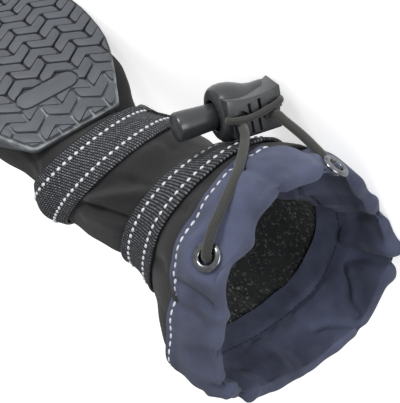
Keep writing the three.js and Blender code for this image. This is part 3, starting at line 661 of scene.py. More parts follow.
def webbing_material(name, tone, fleck):
    material, n, surface, at = new_material(name)
    ribs = placed_group(n, "Webbing ribs", {"UV": at["UV"], "Rib": 1.15, "Yarn": 0.85})
    fray = n.noise(at["Object"], 900.0, 2)
    # painted shade: the low yarns between the ribs are painted at 0.3 of the tone, where shade falls in the weave
    base = n.mix(ribs["Rib Top"], shade(tone, 0.3), colour(tone))
    mask = n.math("MULTIPLY", ribs["Flecks"], n.math("MULTIPLY_ADD", fray, 0.9, 0.35))
    n.link(n.mix(mask, base, colour(fleck)), surface.inputs["Base Color"])
    bump(n, surface, ribs["Height"], 0.3, 0.9)
    set_surface(surface, {"Roughness": 0.8, "Specular IOR Level": 0.3})
    return material


def fleece_material(name, tone, fleck):
    material, n, surface, at = new_material(name)
    mottled = mottle(n, at, tone, shade(tone, 0.5), fleck, 120.0, 700.0, 0.8)
    n.link(mottled["Color"], surface.inputs["Base Color"])
    raised = n.math("MULTIPLY", mottled["Speck Mask"], 0.5)
    tufts = n.math("ADD", n.noise(at["Object"], 350.0, 5, 0.7), raised)
    bump(n, surface, tufts, 1.2, 0.9)
    set_surface(surface, {"Roughness": 0.95, "Sheen Weight": 0.4, "Specular IOR Level": 0.1})
    return material


def rubber_material(name, tone, groove_shade_tone, dust):
    """Moulded rubber: the attribute 'depth' runs from 0 on the lugs' tops to 1 on the floor between them. The
    floor between the lugs is painted darker as painted shade, with real pale dust over it at the heel.
    """
    material, n, surface, at = new_material(name)
    mottled = mottle(n, at, tone, shade(tone, 0.85), shade(tone, 1.5), 90.0, 1100.0, 0.3)
    depth = n.add("ShaderNodeAttribute", attribute_name="depth").outputs["Fac"]
    heel = n.add("ShaderNodeAttribute", attribute_name="heel").outputs["Fac"]
    dirt = n.math("MULTIPLY", heel, n.ramp(n.noise(at["Object"], 160.0, 5, 0.65), 0.3, 0.62))
    # painted shade: the groove floor takes a dark tone where shade falls between the lugs, mixed with real pale
    # dust at the heel
    ground = n.mix(dirt, colour(groove_shade_tone), colour(dust))
    n.link(n.mix(n.ramp(depth, 0.35, 0.9), mottled["Color"], ground), surface.inputs["Base Color"])
    grain = n.noise(at["Object"], 1300.0, 3)
    bump(n, surface, grain, 0.08, 0.5)
    rough = n.math("MULTIPLY_ADD", n.noise(at["Object"], 260.0, 3), 0.25, 0.42)
    n.link(rough, surface.inputs["Roughness"])
    return material


def plastic_material(name, tone, drift):
    material, n, surface, at = new_material(name)
    mottled = mottle(n, at, tone, drift, shade(tone, 1.6), 110.0, 1600.0, 0.12)
    n.link(mottled["Color"], surface.inputs["Base Color"])
    wear = n.noise(at["Object"], 420.0, 4)
    n.link(n.math("MULTIPLY_ADD", wear, 0.22, 0.22), surface.inputs["Roughness"])
    bump(n, surface, n.noise(at["Object"], 1800.0, 2), 0.04, 0.35)
    set_surface(surface, {"Coat Weight": 0.15, "Coat Roughness": 0.2})
    return material


def metal_material(name, tone):
    material, n, surface, at = new_material(name)
    worn = n.ramp(n.noise(at["Object"], 500.0, 4), 0.4, 0.7)
    n.link(n.mix(worn, colour(tone), shade(tone, 0.55)), surface.inputs["Base Color"])
    set_surface(surface, {"Metallic": 1.0})
    n.link(n.math("MULTIPLY_ADD", worn, 0.15, 0.16), surface.inputs["Roughness"])
    bump(n, surface, n.noise(at["Object"], 1500.0, 2), 0.03, 0.3)
    return material


def cord_material(name, tone, light):
    """Elastic cord: a braid of fine yarns on surface millimetres, u round it and v along."""
    material, n, surface, at = new_material(name)
    parts = n.add("ShaderNodeSeparateXYZ", {0: at["UV"]}).outputs
    waves = []
    for way in (1, -1):
        turn = n.math("ADD", n.math("MULTIPLY", parts[0], way / 0.79), n.math("DIVIDE", parts[1], 1.1))
        waves.append(n.math("ABSOLUTE", n.math("SINE", n.math("MULTIPLY", turn, math.pi))))
    height = n.math("MULTIPLY", n.math("MAXIMUM", *waves), n.math("MULTIPLY_ADD", waves[0], 0.3, 0.7))
    drift = n.noise(at["Object"], 500.0, 3)
    base = n.mix(drift, shade(tone, 0.8), colour(light))
    # painted shade: the gaps between the braid's yarns are painted at 0.45 of the tone, where shade falls between
    # them
    n.link(n.mix(n.ramp(height, 0.55, 0.95), shade(tone, 0.45), base), surface.inputs["Base Color"])
    bump(n, surface, height, 0.15, 0.7)
    set_surface(surface, {"Roughness": 0.72, "Sheen Weight": 0.2, "Specular IOR Level": 0.3})
    return material


def thread_material(name, tone):
    material, n, surface, at = new_material(name)
    strands = n.noise(at["Object"], 2200.0, 3)
    n.link(n.mix(n.ramp(strands, 0.35, 0.65), shade(tone, 0.72), colour(tone)), surface.inputs["Base Color"])
    bump(n, surface, strands, 0.06, 0.6)
    set_surface(surface, {"Roughness": 0.6})
    return material


# Settings
def millimetres(name, description, value):
    return bpy.props.FloatProperty(
        name=name, description=description, default=value * MM, subtype="DISTANCE", unit="LENGTH")


def tint(name, description, code):
    return bpy.props.FloatVectorProperty(
        name=name, description=description, default=linear(code), subtype="COLOR", size=3, min=0, max=1)


class BootSizes(bpy.types.PropertyGroup):
    strap_thickness: millimetres("Strap thickness", "Thickness of the webbing", 1.3)
    stitch_pitch: millimetres("Stitch pitch", "Distance from one stitch to the next", 2.75)
    stitch_length: millimetres("Stitch length", "Length of the thread seen between two holes", 1.75)
    stitch_width: millimetres("Stitch width", "Thickness of the reflective thread", 1.25)
    cord_diameter: millimetres("Cord diameter", "Thickness of the elastic drawcord", 3)
    lug_edge: millimetres("Lug edge", "Rounding of the tread's edges", 0.34)


class BootColours(bpy.types.PropertyGroup):
    rubber: tint("Rubber", "Tops of the tread's lugs", "3f4248")
    # painted shade: the dark tone painted on the tread's groove floor
    groove_shade: tint("Groove", "Floor of the tread's grooves", "17181b")
    dust: tint("Dust", "Pale dirt between the heel's lugs", "7d8284")
    shell: tint("Shell", "Softshell cloth of the upper and the shaft", "1e1d1f")
    navy: tint("Navy", "Cloth of the collar", "474c61")
    webbing: tint("Webbing", "Straps", "141416")
    fleck: tint("Fleck", "Light yarns in the straps", "7b8086")
    thread: tint("Thread", "Reflective stitching", "c2c5ca")
    seam: tint("Seam thread", "Stitching inside the collar", "14162c")
    lining: tint("Lining", "Fleece inside", "1d1f20")
    tuft: tint("Tuft", "Light flecks of the fleece", "4d5652")
    cord: tint("Cord", "Elastic drawcord", "2b2c29")
    plastic: tint("Plastic", "Cord lock", "1f2123")
    metal: tint("Metal", "Eyelets", "77797d")


def sizes():
    return bpy.context.scene.boot_sizes


def colours():
    return bpy.context.scene.boot_colours


# Stage

FLOOR_REACH = 3
FLOOR_THICKNESS = 0.02
FLOOR_GLOW = 0.55
WORLD_GLOW = 0.6
LIGHTS_AIM = Vector((0, 0, 0.03))
# Metres to the viewer's right, up and back from the aim, then the disc's size and its power
LIGHTS = {
    "Key": ((-0.45, 0.55, 0.75), 0.3, 8),
    "Sky": ((-0.1, 0.85, -0.45), 0.5, 13),
    "Fill": ((0.35, -0.1, 0.9), 0.5, 5),
}


def area_light(name, place, target, size, power):
    light = bpy.data.lights.new(name, "AREA")
    light.shape = "DISK"
    light.size = size
    light.energy = power
    obj = bpy.data.objects.new(name, light)
    bpy.context.scene.collection.objects.link(obj)
    obj.location = place
    obj.rotation_euler = (Vector(target) - Vector(place)).to_track_quat("-Z", "Y").to_euler()
    return obj


class DOGBOOT_OT_stage(bpy.types.Operator):
    """Sets the camera, the lights and the pale floor"""
    bl_idname = "dogboot.stage"
    bl_label = "Stage"

    def execute(self, context):
        scene = context.scene
        scene.view_settings.view_transform = "Standard"
        data = bpy.data.cameras.new("Camera")
        data.lens = CAMERA_LENS
        data.sensor_width = SENSOR_WIDTH
        data.sensor_fit = "AUTO"
        data.clip_start = 0.01
        camera = bpy.data.objects.new("Camera", data)
        scene.collection.objects.link(camera)
        turn = Matrix(way_to_world([CAMERA_RIGHT, CAMERA_UP, CAMERA_BACK]).tolist()).transposed()
        camera.matrix_world = Matrix.Translation(Vector(to_world(CAMERA_PLACE))) @ turn.to_4x4()
        scene.camera = camera

        square = [(x * FLOOR_REACH, y * FLOOR_REACH) for x, y in ((-1, -1), (1, -1), (1, 1), (-1, 1))]
        corners = slab_points(square, -FLOOR_THICKNESS, 0)
        floor = mesh_object("floor", corners, slab_faces(4), smooth=False, in_boot=False)
        material, n, surface, at = new_material("Studio floor")
        tone = n.mix(n.noise(at["Object"], 3.0, 2), (0.86, 0.86, 0.87, 1), (0.9, 0.9, 0.9, 1))
        n.link(tone, surface.inputs["Base Color"])
        set_surface(surface, {"Roughness": 0.9, "Emission Color": (1, 1, 1, 1)})
        set_surface(surface, {"Emission Strength": FLOOR_GLOW})
        floor.data.materials.append(material)

        world = bpy.data.worlds.new("Studio")
        world.use_nodes = True
        set_surface(world.node_tree.nodes["Background"], {"Color": (1, 1, 1, 1), "Strength": WORLD_GLOW})
        scene.world = world

        right, up, back = (Vector(way_to_world(way)) for way in (CAMERA_RIGHT, CAMERA_UP, CAMERA_BACK))
        for name, ((aside, above, nearer), size, power) in LIGHTS.items():
            place = LIGHTS_AIM + right * aside + up * above + back * nearer
            area_light(name, place, LIGHTS_AIM, size, power)
        return {"FINISHED"}


# Drawcord
LOCK_CENTRE = np.array([-54.1, 33.2, -33.8])
LOCK_ACROSS = np.array(PRESS_IN_BOOT)
LOCK_FRONT = np.array([-0.81, -0.12, -0.57])
LOCK_FRONT = unit(LOCK_FRONT - LOCK_ACROSS * (LOCK_FRONT @ LOCK_ACROSS))
LOCK_TOP = unit(np.cross(LOCK_FRONT, LOCK_ACROSS))
LOCK_FACE = 7.5
BAR_STRETCH = 0.72


def in_lock(across, top, front):
    return LOCK_CENTRE + LOCK_ACROSS * across + LOCK_TOP * top + LOCK_FRONT * front


def lock_matrix(x, y, z, place=(0, 0, 0)):
    """Carries a shape's x, y and z onto lock directions, with its origin at a place in the lock."""
    ways = {"a": LOCK_ACROSS, "t": LOCK_TOP, "f": LOCK_FRONT}
    columns = [ways[key] for key in (x, y, z)]
    return Matrix.Translation(Vector(in_lock(*place))) @ Matrix(np.array(columns).T.tolist()).to_4x4()


def cord_route(points, step=0.8):
    """A centripetal curve through points, walked at an even pace."""
    points = np.array(points, float)
    line = np.vstack([2 * points[0] - points[1], points, 2 * points[-1] - points[-2]])
    walked = []
    for i in range(1, len(line) - 2):
        p = line[i - 1 : i + 3]
        knots = np.concatenate([[0], np.cumsum(np.linalg.norm(np.diff(p, axis=0), axis=1) ** 0.5)])
        t = np.linspace(knots[1], knots[2], 25)[:, None]

        def blend(a, b, low, high):
            return (high - t) / (high - low) * a + (t - low) / (high - low) * b

        first = [blend(p[k], p[k + 1], knots[k], knots[k + 1]) for k in range(3)]
        second = [blend(first[k], first[k + 1], knots[k], knots[k + 2]) for k in range(2)]
        piece = blend(second[0], second[1], knots[1], knots[2])
        walked.append(piece if i == 1 else piece[1:])
    walked = np.vstack(walked)
    run = run_along(walked)
    even = np.linspace(0, run[-1], max(12, round(run[-1] / step)))
    return sampled(walked, run, even), run[-1]


def tube(name, route, radius, sides=20):
    """A round cord along a route, with millimetres round it and along it as its UV."""
    tangents = unit(np.gradient(route, axis=0))
    side = unit(np.cross(tangents[0], [0.3, 0.5, 0.8]))
    rings = []
    for point, tangent in zip(route, tangents):
        side = unit(side - tangent * (side @ tangent))
        other = np.cross(tangent, side)
        angles = full_turn(sides)
        rings.append(point + radius * (np.cos(angles)[:, None] * side + np.sin(angles)[:, None] * other))
    rings = np.array(rings)
    run = run_along(route)
    u = np.arange(sides + 1) / sides * round(2 * math.pi * radius)
    uv = uv_grid(u, run)
    uv = np.concatenate([uv, uv[-1:]])
    return skin(name, rings, uv)


# The cord's two free runs, from the eyelets to the lock
LEFT_CORD = [
    (-88.4, 39.6, -37.7), (-85.9, 39.3, -37.8), (-83.1, 39.4, -37.8), (-79.9, 39.4, -37.9),
    (-76.8, 39.4, -38.0), (-73.3, 39.2, -38.2), (-69.5, 38.7, -38.5), (-65.8, 38.2, -38.7),
    (-63.1, 37.9, -38.9),
]
RIGHT_CORD = [
    (-87.6, -6.7, -38.0), (-85.6, -3.5, -40.5), (-83.9, -0.1, -42.2), (-81.6, 4.0, -43.7),
    (-78.9, 8.5, -44.3), (-75.3, 13.5, -43.6), (-70.3, 18.9, -42.1), (-66.8, 22.4, -40.7),
    (-63.6, 24.9, -39.9),
]
# The stretched piece between the two holes: across, top and front in the lock
BAR = [
    (-9, 2, 6.6), (-8.6, 1.9, 8.2), (-5.5, 1.5, 8.9), (-2, 1.4, 9.1), (3, 2.3, 9.1), (8.3, 3.6, 8.6),
    (9.2, 3.8, 6.8),
]


def cord_paths():
    """The points of the left run, the right run and the bar, in boot axes."""
    paths = []
    for side, line in ((1, LEFT_CORD), (-1, RIGHT_CORD)):
        centre, normal = eyelet_seat(side)
        start = [centre - 1.2 * normal, centre + 0.8 * normal]
        paths.append(start + line + [in_lock(side * 5.1, -0.6, 6.5), in_lock(side * 5, 0, 2.5)])
    return *paths, [in_lock(*place) for place in BAR]


class DOGBOOT_OT_drawcord(bpy.types.Operator):
    """Runs the elastic drawcord from the eyelets into the cord lock"""
    bl_idname = "dogboot.drawcord"
    bl_label = "Drawcord"

    def execute(self, context):
        diameter = sizes().cord_diameter
        material = cord_material("Elastic cord", colours().cord, shade(colours().cord, 1.5))
        left, right, bar = cord_paths()
        for name, points in (("drawcord_left", left), ("drawcord_right", right), ("drawcord_bar", bar)):
            route, length = cord_route(points)
            stretch = BAR_STRETCH if name == "drawcord_bar" else 1
            made = tube(name + "_elastic", route, diameter / MM / 2 * stretch)
            finish_piece(made, material, nodes=[name])
        return {"FINISHED"}


# Sole
class DOGBOOT_OT_outsole(bpy.types.Operator):
    """Rounds the moulded edges of the rubber sole"""
    bl_idname = "dogboot.outsole"
    bl_label = "Outsole"

    def execute(self, context):
        mesh = frame["nodes"]["outsole"].data.copy()
        mesh.name = "outsole_rubber"
        mesh.materials.clear()
        work = bmesh.new()
        work.from_mesh(mesh)
        bmesh.ops.remove_doubles(work, verts=work.verts, dist=1e-6)
        bmesh.ops.dissolve_limit(work, angle_limit=math.radians(1.5), verts=work.verts, edges=work.edges)
        work.to_mesh(mesh)
        work.free()
        obj = bpy.data.objects.new("outsole_rubber", mesh)
        context.scene.collection.objects.link(obj)
        bevel(obj, sizes().lug_edge / MM, 2, 40)
        mesh = obj.data
        places = np.zeros(len(mesh.vertices) * 3)
        mesh.vertices.foreach_get("co", places)
        local = (places.reshape(-1, 3) - PLACE) @ AXES.T / MM
        # depth masks the painted shade on the groove floor
        height = local[:, 2] - spring(local[:, 0])
        depth = np.clip(height / LUG_HEIGHT, 0, 1) * (height < LUG_HEIGHT + 0.2)
        mesh.attributes.new("depth", "FLOAT", "POINT").data.foreach_set("value", depth.astype(np.float32))
        heel = 1 - smoothstep(local[:, 0], 12, 30)
        mesh.attributes.new("heel", "FLOAT", "POINT").data.foreach_set("value", heel.astype(np.float32))
        material = rubber_material("Moulded rubber", colours().rubber, colours().groove_shade, colours().dust)
        finish_piece(obj, material, nodes=["outsole"])
        return {"FINISHED"}


# Upper, lining and insole
# Folds of the cloth: corners as (place, angle in degrees), depth (out is positive) and width
FOLDS = [
    ([(9.9, 203), (10.6, 206), (11.2, 208), (11.8, 210)], -3.4, 1.5),
    ([(10.0, 209), (10.6, 215), (11.2, 224), (11.8, 233), (12.3, 238)], 2.6, 2.0),
    ([(10.2, 222), (10.8, 232), (11.4, 240)], -1.5, 2.4),
    ([(10.3, 196), (11.0, 199), (11.7, 201)], 1.2, 2.6),
    ([(9.6, 232), (10.4, 236), (11.2, 240), (12.0, 244)], -0.7, 1.2),
    ([(9.4, 250), (10.2, 262), (11.2, 270)], 0.9, 4.0),
    ([(9.8, 290), (10.6, 285), (11.6, 279)], -0.8, 2.2),
    ([(12.6, 190), (13.2, 196), (13.8, 204)], -1.4, 2.2),
    ([(12.6, 232), (13.3, 236), (14.0, 240)], -1.2, 2.0),
    ([(12.8, 265), (13.4, 262), (14.1, 258)], -1.0, 2.4),
    ([(5.4, 344), (6.2, 340), (7.0, 334)], -1.4, 2.0),
    ([(6.8, 352), (7.4, 345), (8.2, 338)], -1.2, 2.2),
    ([(6.4, 205), (7.0, 202), (7.8, 200)], -1.0, 2.2),
    ([(9.6, 40), (10.6, 46), (11.6, 50)], -1.6, 3.0),
    ([(9.8, 90), (10.8, 96), (11.8, 100)], -1.8, 3.0),
    ([(9.6, 140), (10.4, 146), (11.4, 152)], -1.6, 2.6),
    ([(4.0, 60), (5.0, 66), (6.2, 70)], -0.9, 3.2),
    ([(5.2, 120), (6.2, 118), (7.2, 112)], -1.2, 3.0),
    ([(13.0, 60), (13.8, 64), (14.4, 66)], -1.4, 3.0),
    ([(13.0, 120), (13.8, 124), (14.4, 128)], -1.4, 3.0),
]


def fold_relief(points):
    """How far each fold lifts or sinks the cloth at points, in millimetres."""
    relief = np.zeros(points.shape[:-1])
    for corners, depth, width in FOLDS:
        line = np.array([form_point(place, math.radians(angle)) for place, angle in corners])
        relief += depth * np.exp(-((line_distance(points, line) / width) ** 2))
    return relief


def strap_press(points):
    """The straps press the cloth under them."""
    press = np.zeros(points.shape[:-1])
    for band in (ANKLE_BAND, SHAFT_BAND):
        away = np.abs((points - band.centre) @ band.out)
        press += 1 - smoothstep(away, STRAP_WIDTH / 2 - 1.5, STRAP_WIDTH / 2 + 4)
    return np.clip(press, 0, 1)


def shell_relief(points):
    loose = 1 - strap_press(points)
    waves = 0.55 * crumple(points, 9, 3) + 0.25 * crumple(points, 4, 5)
    return loose * (0.35 + fold_relief(points) + waves) - 0.15


def lining_relief(points):
    return shell_relief(points) + 0.25 * crumple(points, 2.2, 11) - 0.2


def double_wall(name, places, angles, outer, inner, relief):
    """A closed double-walled shell over the form between two depths, open at its last place."""
    base = form_point(places[:, None], angles[None])
    lift = relief(base)
    top = form_point(places[:, None], angles[None], outer + lift)
    under = form_point(places[::-1, None], angles[None], inner + lift[::-1])
    ends = form_point(places[-1:, None], angles[None], (outer + inner) / 2 + lift[-1:])
    _, out, _, _ = frame_at(places[-1])
    grid = np.concatenate([top, ends + out * abs(outer - inner) / 2, under])
    middle = around_lengths(top[len(top) // 2])
    v = np.concatenate([[0], np.cumsum(np.abs(np.diff(between("x", places))))])
    v = np.concatenate([v, v[-1:], v[::-1], v[:1]])
    return skin(name, grid, uv_grid(middle, v))


# Heights over the form of each layer's outer and inner face
SHELL_DEPTHS = (0.0, -0.9)
LINING_DEPTHS = (-1.0, -2.0)
# The place, near the toe, where the lining starts
LINING_START = 1.6


class DOGBOOT_OT_upper(bpy.types.Operator):
    """Sews the softshell upper and its fleece lining"""
    bl_idname = "dogboot.upper"
    bl_label = "Upper"

    def execute(self, context):
        places = np.linspace(0, UPPER_END, 150)
        shell = double_wall("upper_shell", places, full_turn(220, 0.5), *SHELL_DEPTHS, shell_relief)
        softshell = cloth_material(
            "Softshell", colours().shell, pitch=0.4, rough=0.85, sheen=0.08, specks=0.25, fold_tone=0.75)
        finish_piece(shell, softshell, nodes=["upper"])
        places = np.linspace(LINING_START, UPPER_END - 0.3, 90)
        lining = double_wall("upper_lining", places, full_turn(128, 0.5), *LINING_DEPTHS, lining_relief)
        finish_piece(lining, fleece_material("Fleece", colours().lining, colours().tuft))
        return {"FINISHED"}


INSOLE_GAP = 0.3
INSOLE_HEEL = 3
INSOLE_TOE = 70
INSOLE_HALF = 0.75
INSOLE_MIDDLE = 0.85
INSOLE_DISH = 0.25


class DOGBOOT_OT_insole(bpy.types.Operator):
    """Lays the footbed inside the sole"""
    bl_idname = "dogboot.insole"
    bl_label = "Insole"

    def execute(self, context):
        level = BED + UPPER_WALL + INSOLE_GAP
        stations = np.linspace(INSOLE_HEEL, INSOLE_TOE, 60)
        places = np.interp(-stations, -SECTIONS["x"][:ANKLE_PLACE], np.arange(ANKLE_PLACE))
        inset = UPPER_WALL + 2 * INSOLE_GAP
        half = between("half", places) - inset
        reach = between("sole", places) - inset
        base = between("base", places)
        drop = np.clip((between("z", places) - level - spring(stations) - 0.7) / reach, 0, 0.98)
        wide = np.maximum(half * (1 - drop ** base) ** (1 / base) - 0.4, 0.8)
        wide *= np.sqrt(np.clip((stations - INSOLE_HEEL + 0.4) / 2, 0.02, 1))
        wide *= np.sqrt(np.clip((INSOLE_TOE + 0.6 - stations) / 5, 0.02, 1))
        rings = []
        for x, w in zip(stations, wide):
            angles = full_turn(40, 0.5)
            across = w * np.sign(np.cos(angles)) * np.abs(np.cos(angles)) ** 0.35
            up = INSOLE_HALF * np.sign(np.sin(angles)) * np.abs(np.sin(angles)) ** 0.6
            dish = INSOLE_DISH * np.cos(across / max(w, 1) * 1.4)
            height = level + INSOLE_MIDDLE + up - dish * (up > 0) + spring(x)
            rings.append(np.stack([np.full(40, x), across, height], 1))
        made = skin("insole_foam", np.array(rings))
        footbed = fleece_material("Footbed", colours().lining, colours().tuft)
        finish_piece(made, footbed, nodes=["insole"])
        return {"FINISHED"}


# Collar
OUTER_LIFT = 1.25
INNER_LIFT = -2.5
CLOTH = 0.9
OUTER_STITCH = 2
INNER_DEPTH = 27
SEAM_DEPTH = 18.7
RIM_RADIUS = 34
SAG = 11
SAG_ANGLE = 318
SAG_SPREAD = 34
EYELET_SINK = 0.5
EYELET_PIT = 1.5
# Distances from an eyelet's centre over which the pit, and the pull on the cloth, fade
PIT_EDGE = (2.1, 2.9)
PULL_EDGE = (6, 11)
LINING_ROOM = 0.7
FLOOR_GAP = 0.15

# Creases of the collar: corners as (angle in degrees, millimetres past the rim, minus outside), depth, width
CREASES = [
    ([(266, -20), (266, -6), (267, 1), (268, 6)], -1.1, 0.8),
    ([(270, -18), (271, -4)], 0.8, 2.5),
    ([(258, -16), (260, 0)], 0.5, 2.5),
    ([(294, -21), (296, -9), (297, 0), (299, 6)], -3.4, 5.0),
    ([(284, -19), (285, -10), (287, 0)], 1.0, 3.0),
    ([(21, -8), (22, 0), (26, 8), (31, 17)], -3.2, 1.8),
    ([(13, -6), (14, 2), (17, 9), (20, 16)], 2.4, 3.2),
    ([(30, -3), (33, 4), (37, 10)], 1.8, 2.6),
    ([(38, 16), (46, 12), (55, 8), (59, 3)], -1.9, 1.5),
    ([(60, -4), (66, 2), (73, 7), (80, 9)], -1.4, 1.6),
    ([(350, 1), (356, 8), (3, 15)], -1.6, 2.0),
    ([(338, 3), (342, 12), (350, 20)], 1.6, 2.6),
    ([(146, -3), (148, 4), (151, 13)], -1.8, 1.3),
    ([(140, 1), (142, 8), (146, 15)], 1.5, 1.8),
    ([(155, -5), (157, 3), (158, 12)], 1.7, 1.8),
    ([(162, -3), (163, 5), (164, 12)], -1.5, 1.2),
    ([(128, 2), (130, 9), (134, 16)], -1.2, 1.4),
    ([(114, 3), (112, 9), (113, 16)], 1.2, 2.2),
    ([(102, 2), (101, 8), (104, 16)], -1.0, 1.6),
    ([(204, -18), (206, -11), (205, -2)], -1.3, 1.3),
    ([(199, -15), (201, -8), (199, -1)], 0.9, 1.8),
    ([(192, -20), (193, -13), (195, -6)], -0.8, 1.3),
    ([(240, -8), (243, 0), (244, 6)], 0.8, 2.6),
    ([(228, -1), (229, 5)], -0.8, 2.2),
    ([(176, -9), (180, -2), (183, 5)], -1.0, 1.8),
]


def rim_turn(middle, radius, past, turns):
    """Corners of the cloth where it turns over the rim, at heights round a middle."""
    corners = []
    for t in turns:
        c, s = math.cos(t), math.sin(t)
        corners.append((past * c, middle + radius * s, 0, s, c))
    return corners


def rim_profile():
    """The folded cloth of the collar: distance along the shaft from the rim, height over the form,
    millimetres past the rim on the cloth, and how far the cloth faces out of the shaft and past its end."""
    radius = (OUTER_LIFT - INNER_LIFT) / 2
    middle = (OUTER_LIFT + INNER_LIFT) / 2
    turns = np.linspace(math.pi / 2, -math.pi / 2, 13)[1:-1]
    outside = [(d, OUTER_LIFT, d, 1, 0) for d in np.linspace(-CUFF_DEPTH, 0, 46)]
    fold = rim_turn(middle, radius, radius * 0.3, turns)
    inside = [(d, INNER_LIFT, -d, -1, 0) for d in np.linspace(0, -INNER_DEPTH, 50)]
    back = [(d, INNER_LIFT + CLOTH, -d, -1, 0) for d in np.linspace(-INNER_DEPTH, 0, 50)[::2]]
    core = radius - CLOTH
    under = rim_turn(middle, core, core * 0.2, turns[::-2])
    home = [(d, OUTER_LIFT - CLOTH, d, 1, 0) for d in np.linspace(0, -CUFF_DEPTH, 46)[::2]]
    return np.array(outside + fold + inside + back + under + home)


def on_tube(past, turn, stretch):
    """The collar's cloth as a round tube, so that a random field on it closes."""
    across = (np.cos(turn) * RIM_RADIUS, np.sin(turn) * RIM_RADIUS)
    return np.stack(np.broadcast_arrays(*across, past * stretch), -1)


def seam_puckers(past, turn):
    """Small pleats across the seams and over the rim."""
    pleats = crumple(on_tube(past, turn, 0.22), 3.6, 23)
    gather = 0.75 * np.exp(-(((past + CUFF_DEPTH - 3) / 3.5) ** 2)) + 0.35 * np.exp(-((past / 5) ** 2))
    gather += 0.9 * np.exp(-(((past - SEAM_DEPTH) / 4) ** 2))
    return pleats * gather


def cuff_relief(profile, angles):
    """How far the cloth stands out of its own smooth surface: creases, puckers and the casing's fullness."""
    past = profile[:, 2:3]
    turn = angles[None]
    flat = on_tube(past, turn, 1.2)
    relief = 0.75 * crumple(flat, 11, 21) + 0.4 * crumple(flat, 5, 22) + seam_puckers(past, turn)
    relief += np.exp(-(((past + 9) / 6) ** 2)) + 0.5 * np.exp(-(((past - 8) / 6) ** 2))
    spots = np.stack(np.broadcast_arrays(turn * RIM_RADIUS, past), -1)
    lap = np.array([2 * np.pi * RIM_RADIUS, 0])
    for corners, depth, width in CREASES:
        line = np.array([(math.radians(angle) * RIM_RADIUS, q) for angle, q in corners])
        if (np.diff(line[:, 0]) < -lap[0] / 2).any():
            line[:, 0] = np.unwrap(line[:, 0], period=lap[0])
        nearest = np.min([line_distance(spots + k * lap, line) for k in (-1, 0, 1)], axis=0)
        relief += depth * np.exp(-((nearest / width) ** 2))
    for place, depth in ((-CUFF_DEPTH + OUTER_STITCH, 0.45), (SEAM_DEPTH, 0.9)):
        relief -= depth * np.exp(-(((past - place) / 1.1) ** 2))
    return relief


def cuff_grid(profile, angles):
    """The collar's cloth at profile corners and angles: flat under the eyelets, hanging free inside, clear of
    the lining behind its facing and of the floor."""
    places = RIM_BAND.places(np.minimum(profile[:, 0], 0), angles, 0.0, reach=4)
    relief = cuff_relief(profile, angles)
    hang = np.exp(-(((np.degrees(angles) - SAG_ANGLE) / SAG_SPREAD) ** 2)) * SAG
    sag = hang[None] * smoothstep(profile[:, 2:3], 3, INNER_DEPTH) * (profile[:, 3:4] < 0)
    lift = profile[:, 1:2] + relief * profile[:, 3:4] - sag
    inside = profile[:, 3:4] < -0.99
    behind = smoothstep(profile[:, 2:3], CASING_DEPTH - 5, CASING_DEPTH)
    furthest = profile[:, 1:2] + CLOTH - (LINING_ROOM + CLOTH) * behind
    lift = np.where(inside, np.minimum(lift - behind, furthest), lift)
    grid = form_point(places, angles[None], lift)
    past_end = np.maximum(profile[:, :1], 0) + relief * profile[:, 4:5]
    grid = grid + past_end[..., None] * RIM_BAND.out
    outside = (profile[:, 3] > 0.99)[:, None]
    for side in EYELETS:
        centre, normal = eyelet_seat(side)
        away = np.linalg.norm(grid - centre, axis=-1)
        depth = (OUTER_LIFT - profile[:, 1:2]) + EYELET_SINK + EYELET_PIT * (1 - smoothstep(away, *PIT_EDGE))
        pull = (1 - smoothstep(away, *PULL_EDGE)) * outside
        grid = grid - (pull * ((grid - centre) @ normal + depth))[..., None] * normal
    sunk = np.minimum(to_world(grid)[..., 2] / MM - FLOOR_GAP, 0)
    return grid - sunk[..., None] * AXES[:, 2]


class DOGBOOT_OT_collar(bpy.types.Operator):
    """Folds the navy collar over the rim, with its pleats and creases"""
    bl_idname = "dogboot.collar"
    bl_label = "Collar"

    def execute(self, context):
        profile = rim_profile()
        grid = cuff_grid(profile, full_turn(420))
        steps = np.linalg.norm(np.diff(profile[:, :2], axis=0, append=profile[:1, :2]), axis=1)
        v = np.concatenate([[0], np.cumsum(steps)])
        made = skin("collar_cloth", grid, uv_grid(around_lengths(grid[0]), v), closed_rows=True)
        material = cloth_material(
            "Navy collar", colours().navy, pitch=0.5, rough=0.92, sheen=0.06, specks=0.15, fold_tone=0.45)
        finish_piece(made, material, nodes=["collar_cuff"])
        made.data.set_sharp_from_angle(angle=math.radians(60))
        return {"FINISHED"}


# Straps
STRAP_LOW = 0.3
STRAP_CROWN = 0.12
# The corner of a strap's section that lies on the middle of its top
STRAP_MIDDLE = 7
LAP_LOW = 0.35
LAP_THICKNESS = 1.2
TAB_ANGLES = (-32, 52)


def strap_profile(width, low, thickness):
    """A webbing's section, as (distance across it, height over the form), with rounded edges."""
    half = width / 2
    r = thickness / 2
    corners = []
    for d in np.linspace(-half + r, half - r, 2 * STRAP_MIDDLE + 1):
        corners.append((d, low + thickness + STRAP_CROWN * math.cos(d / half * 1.4)))
    corners += [(half - r + r * math.cos(t), low + r + r * math.sin(t)) for t in (1.05, 0.5, 0, -0.5, -1.05)]
    corners += [(d, low) for d in np.linspace(half - r, -half + r, 9)]
    corners += [(-half + r - r * math.cos(t), low + r - r * math.sin(t)) for t in (1.05, 0.5, 0, -0.5, -1.05)]
    return np.array(corners)


def strap_grid(band, profile, angles):
    places = band.places(profile[:, 0], angles)
    return form_point(places, angles[None], np.broadcast_to(profile[:, 1:], places.shape))


def strap_loop(name, band, profile, count=360):
    """A webbing sewn all the way round, with millimetres along it and across it as its UV."""
    grid = strap_grid(band, profile, full_turn(count))
    v = np.append(profile[:, 0], profile[0, 0])
    return skin(name, grid, uv_grid(around_lengths(grid[STRAP_MIDDLE]), v), closed_rows=True)


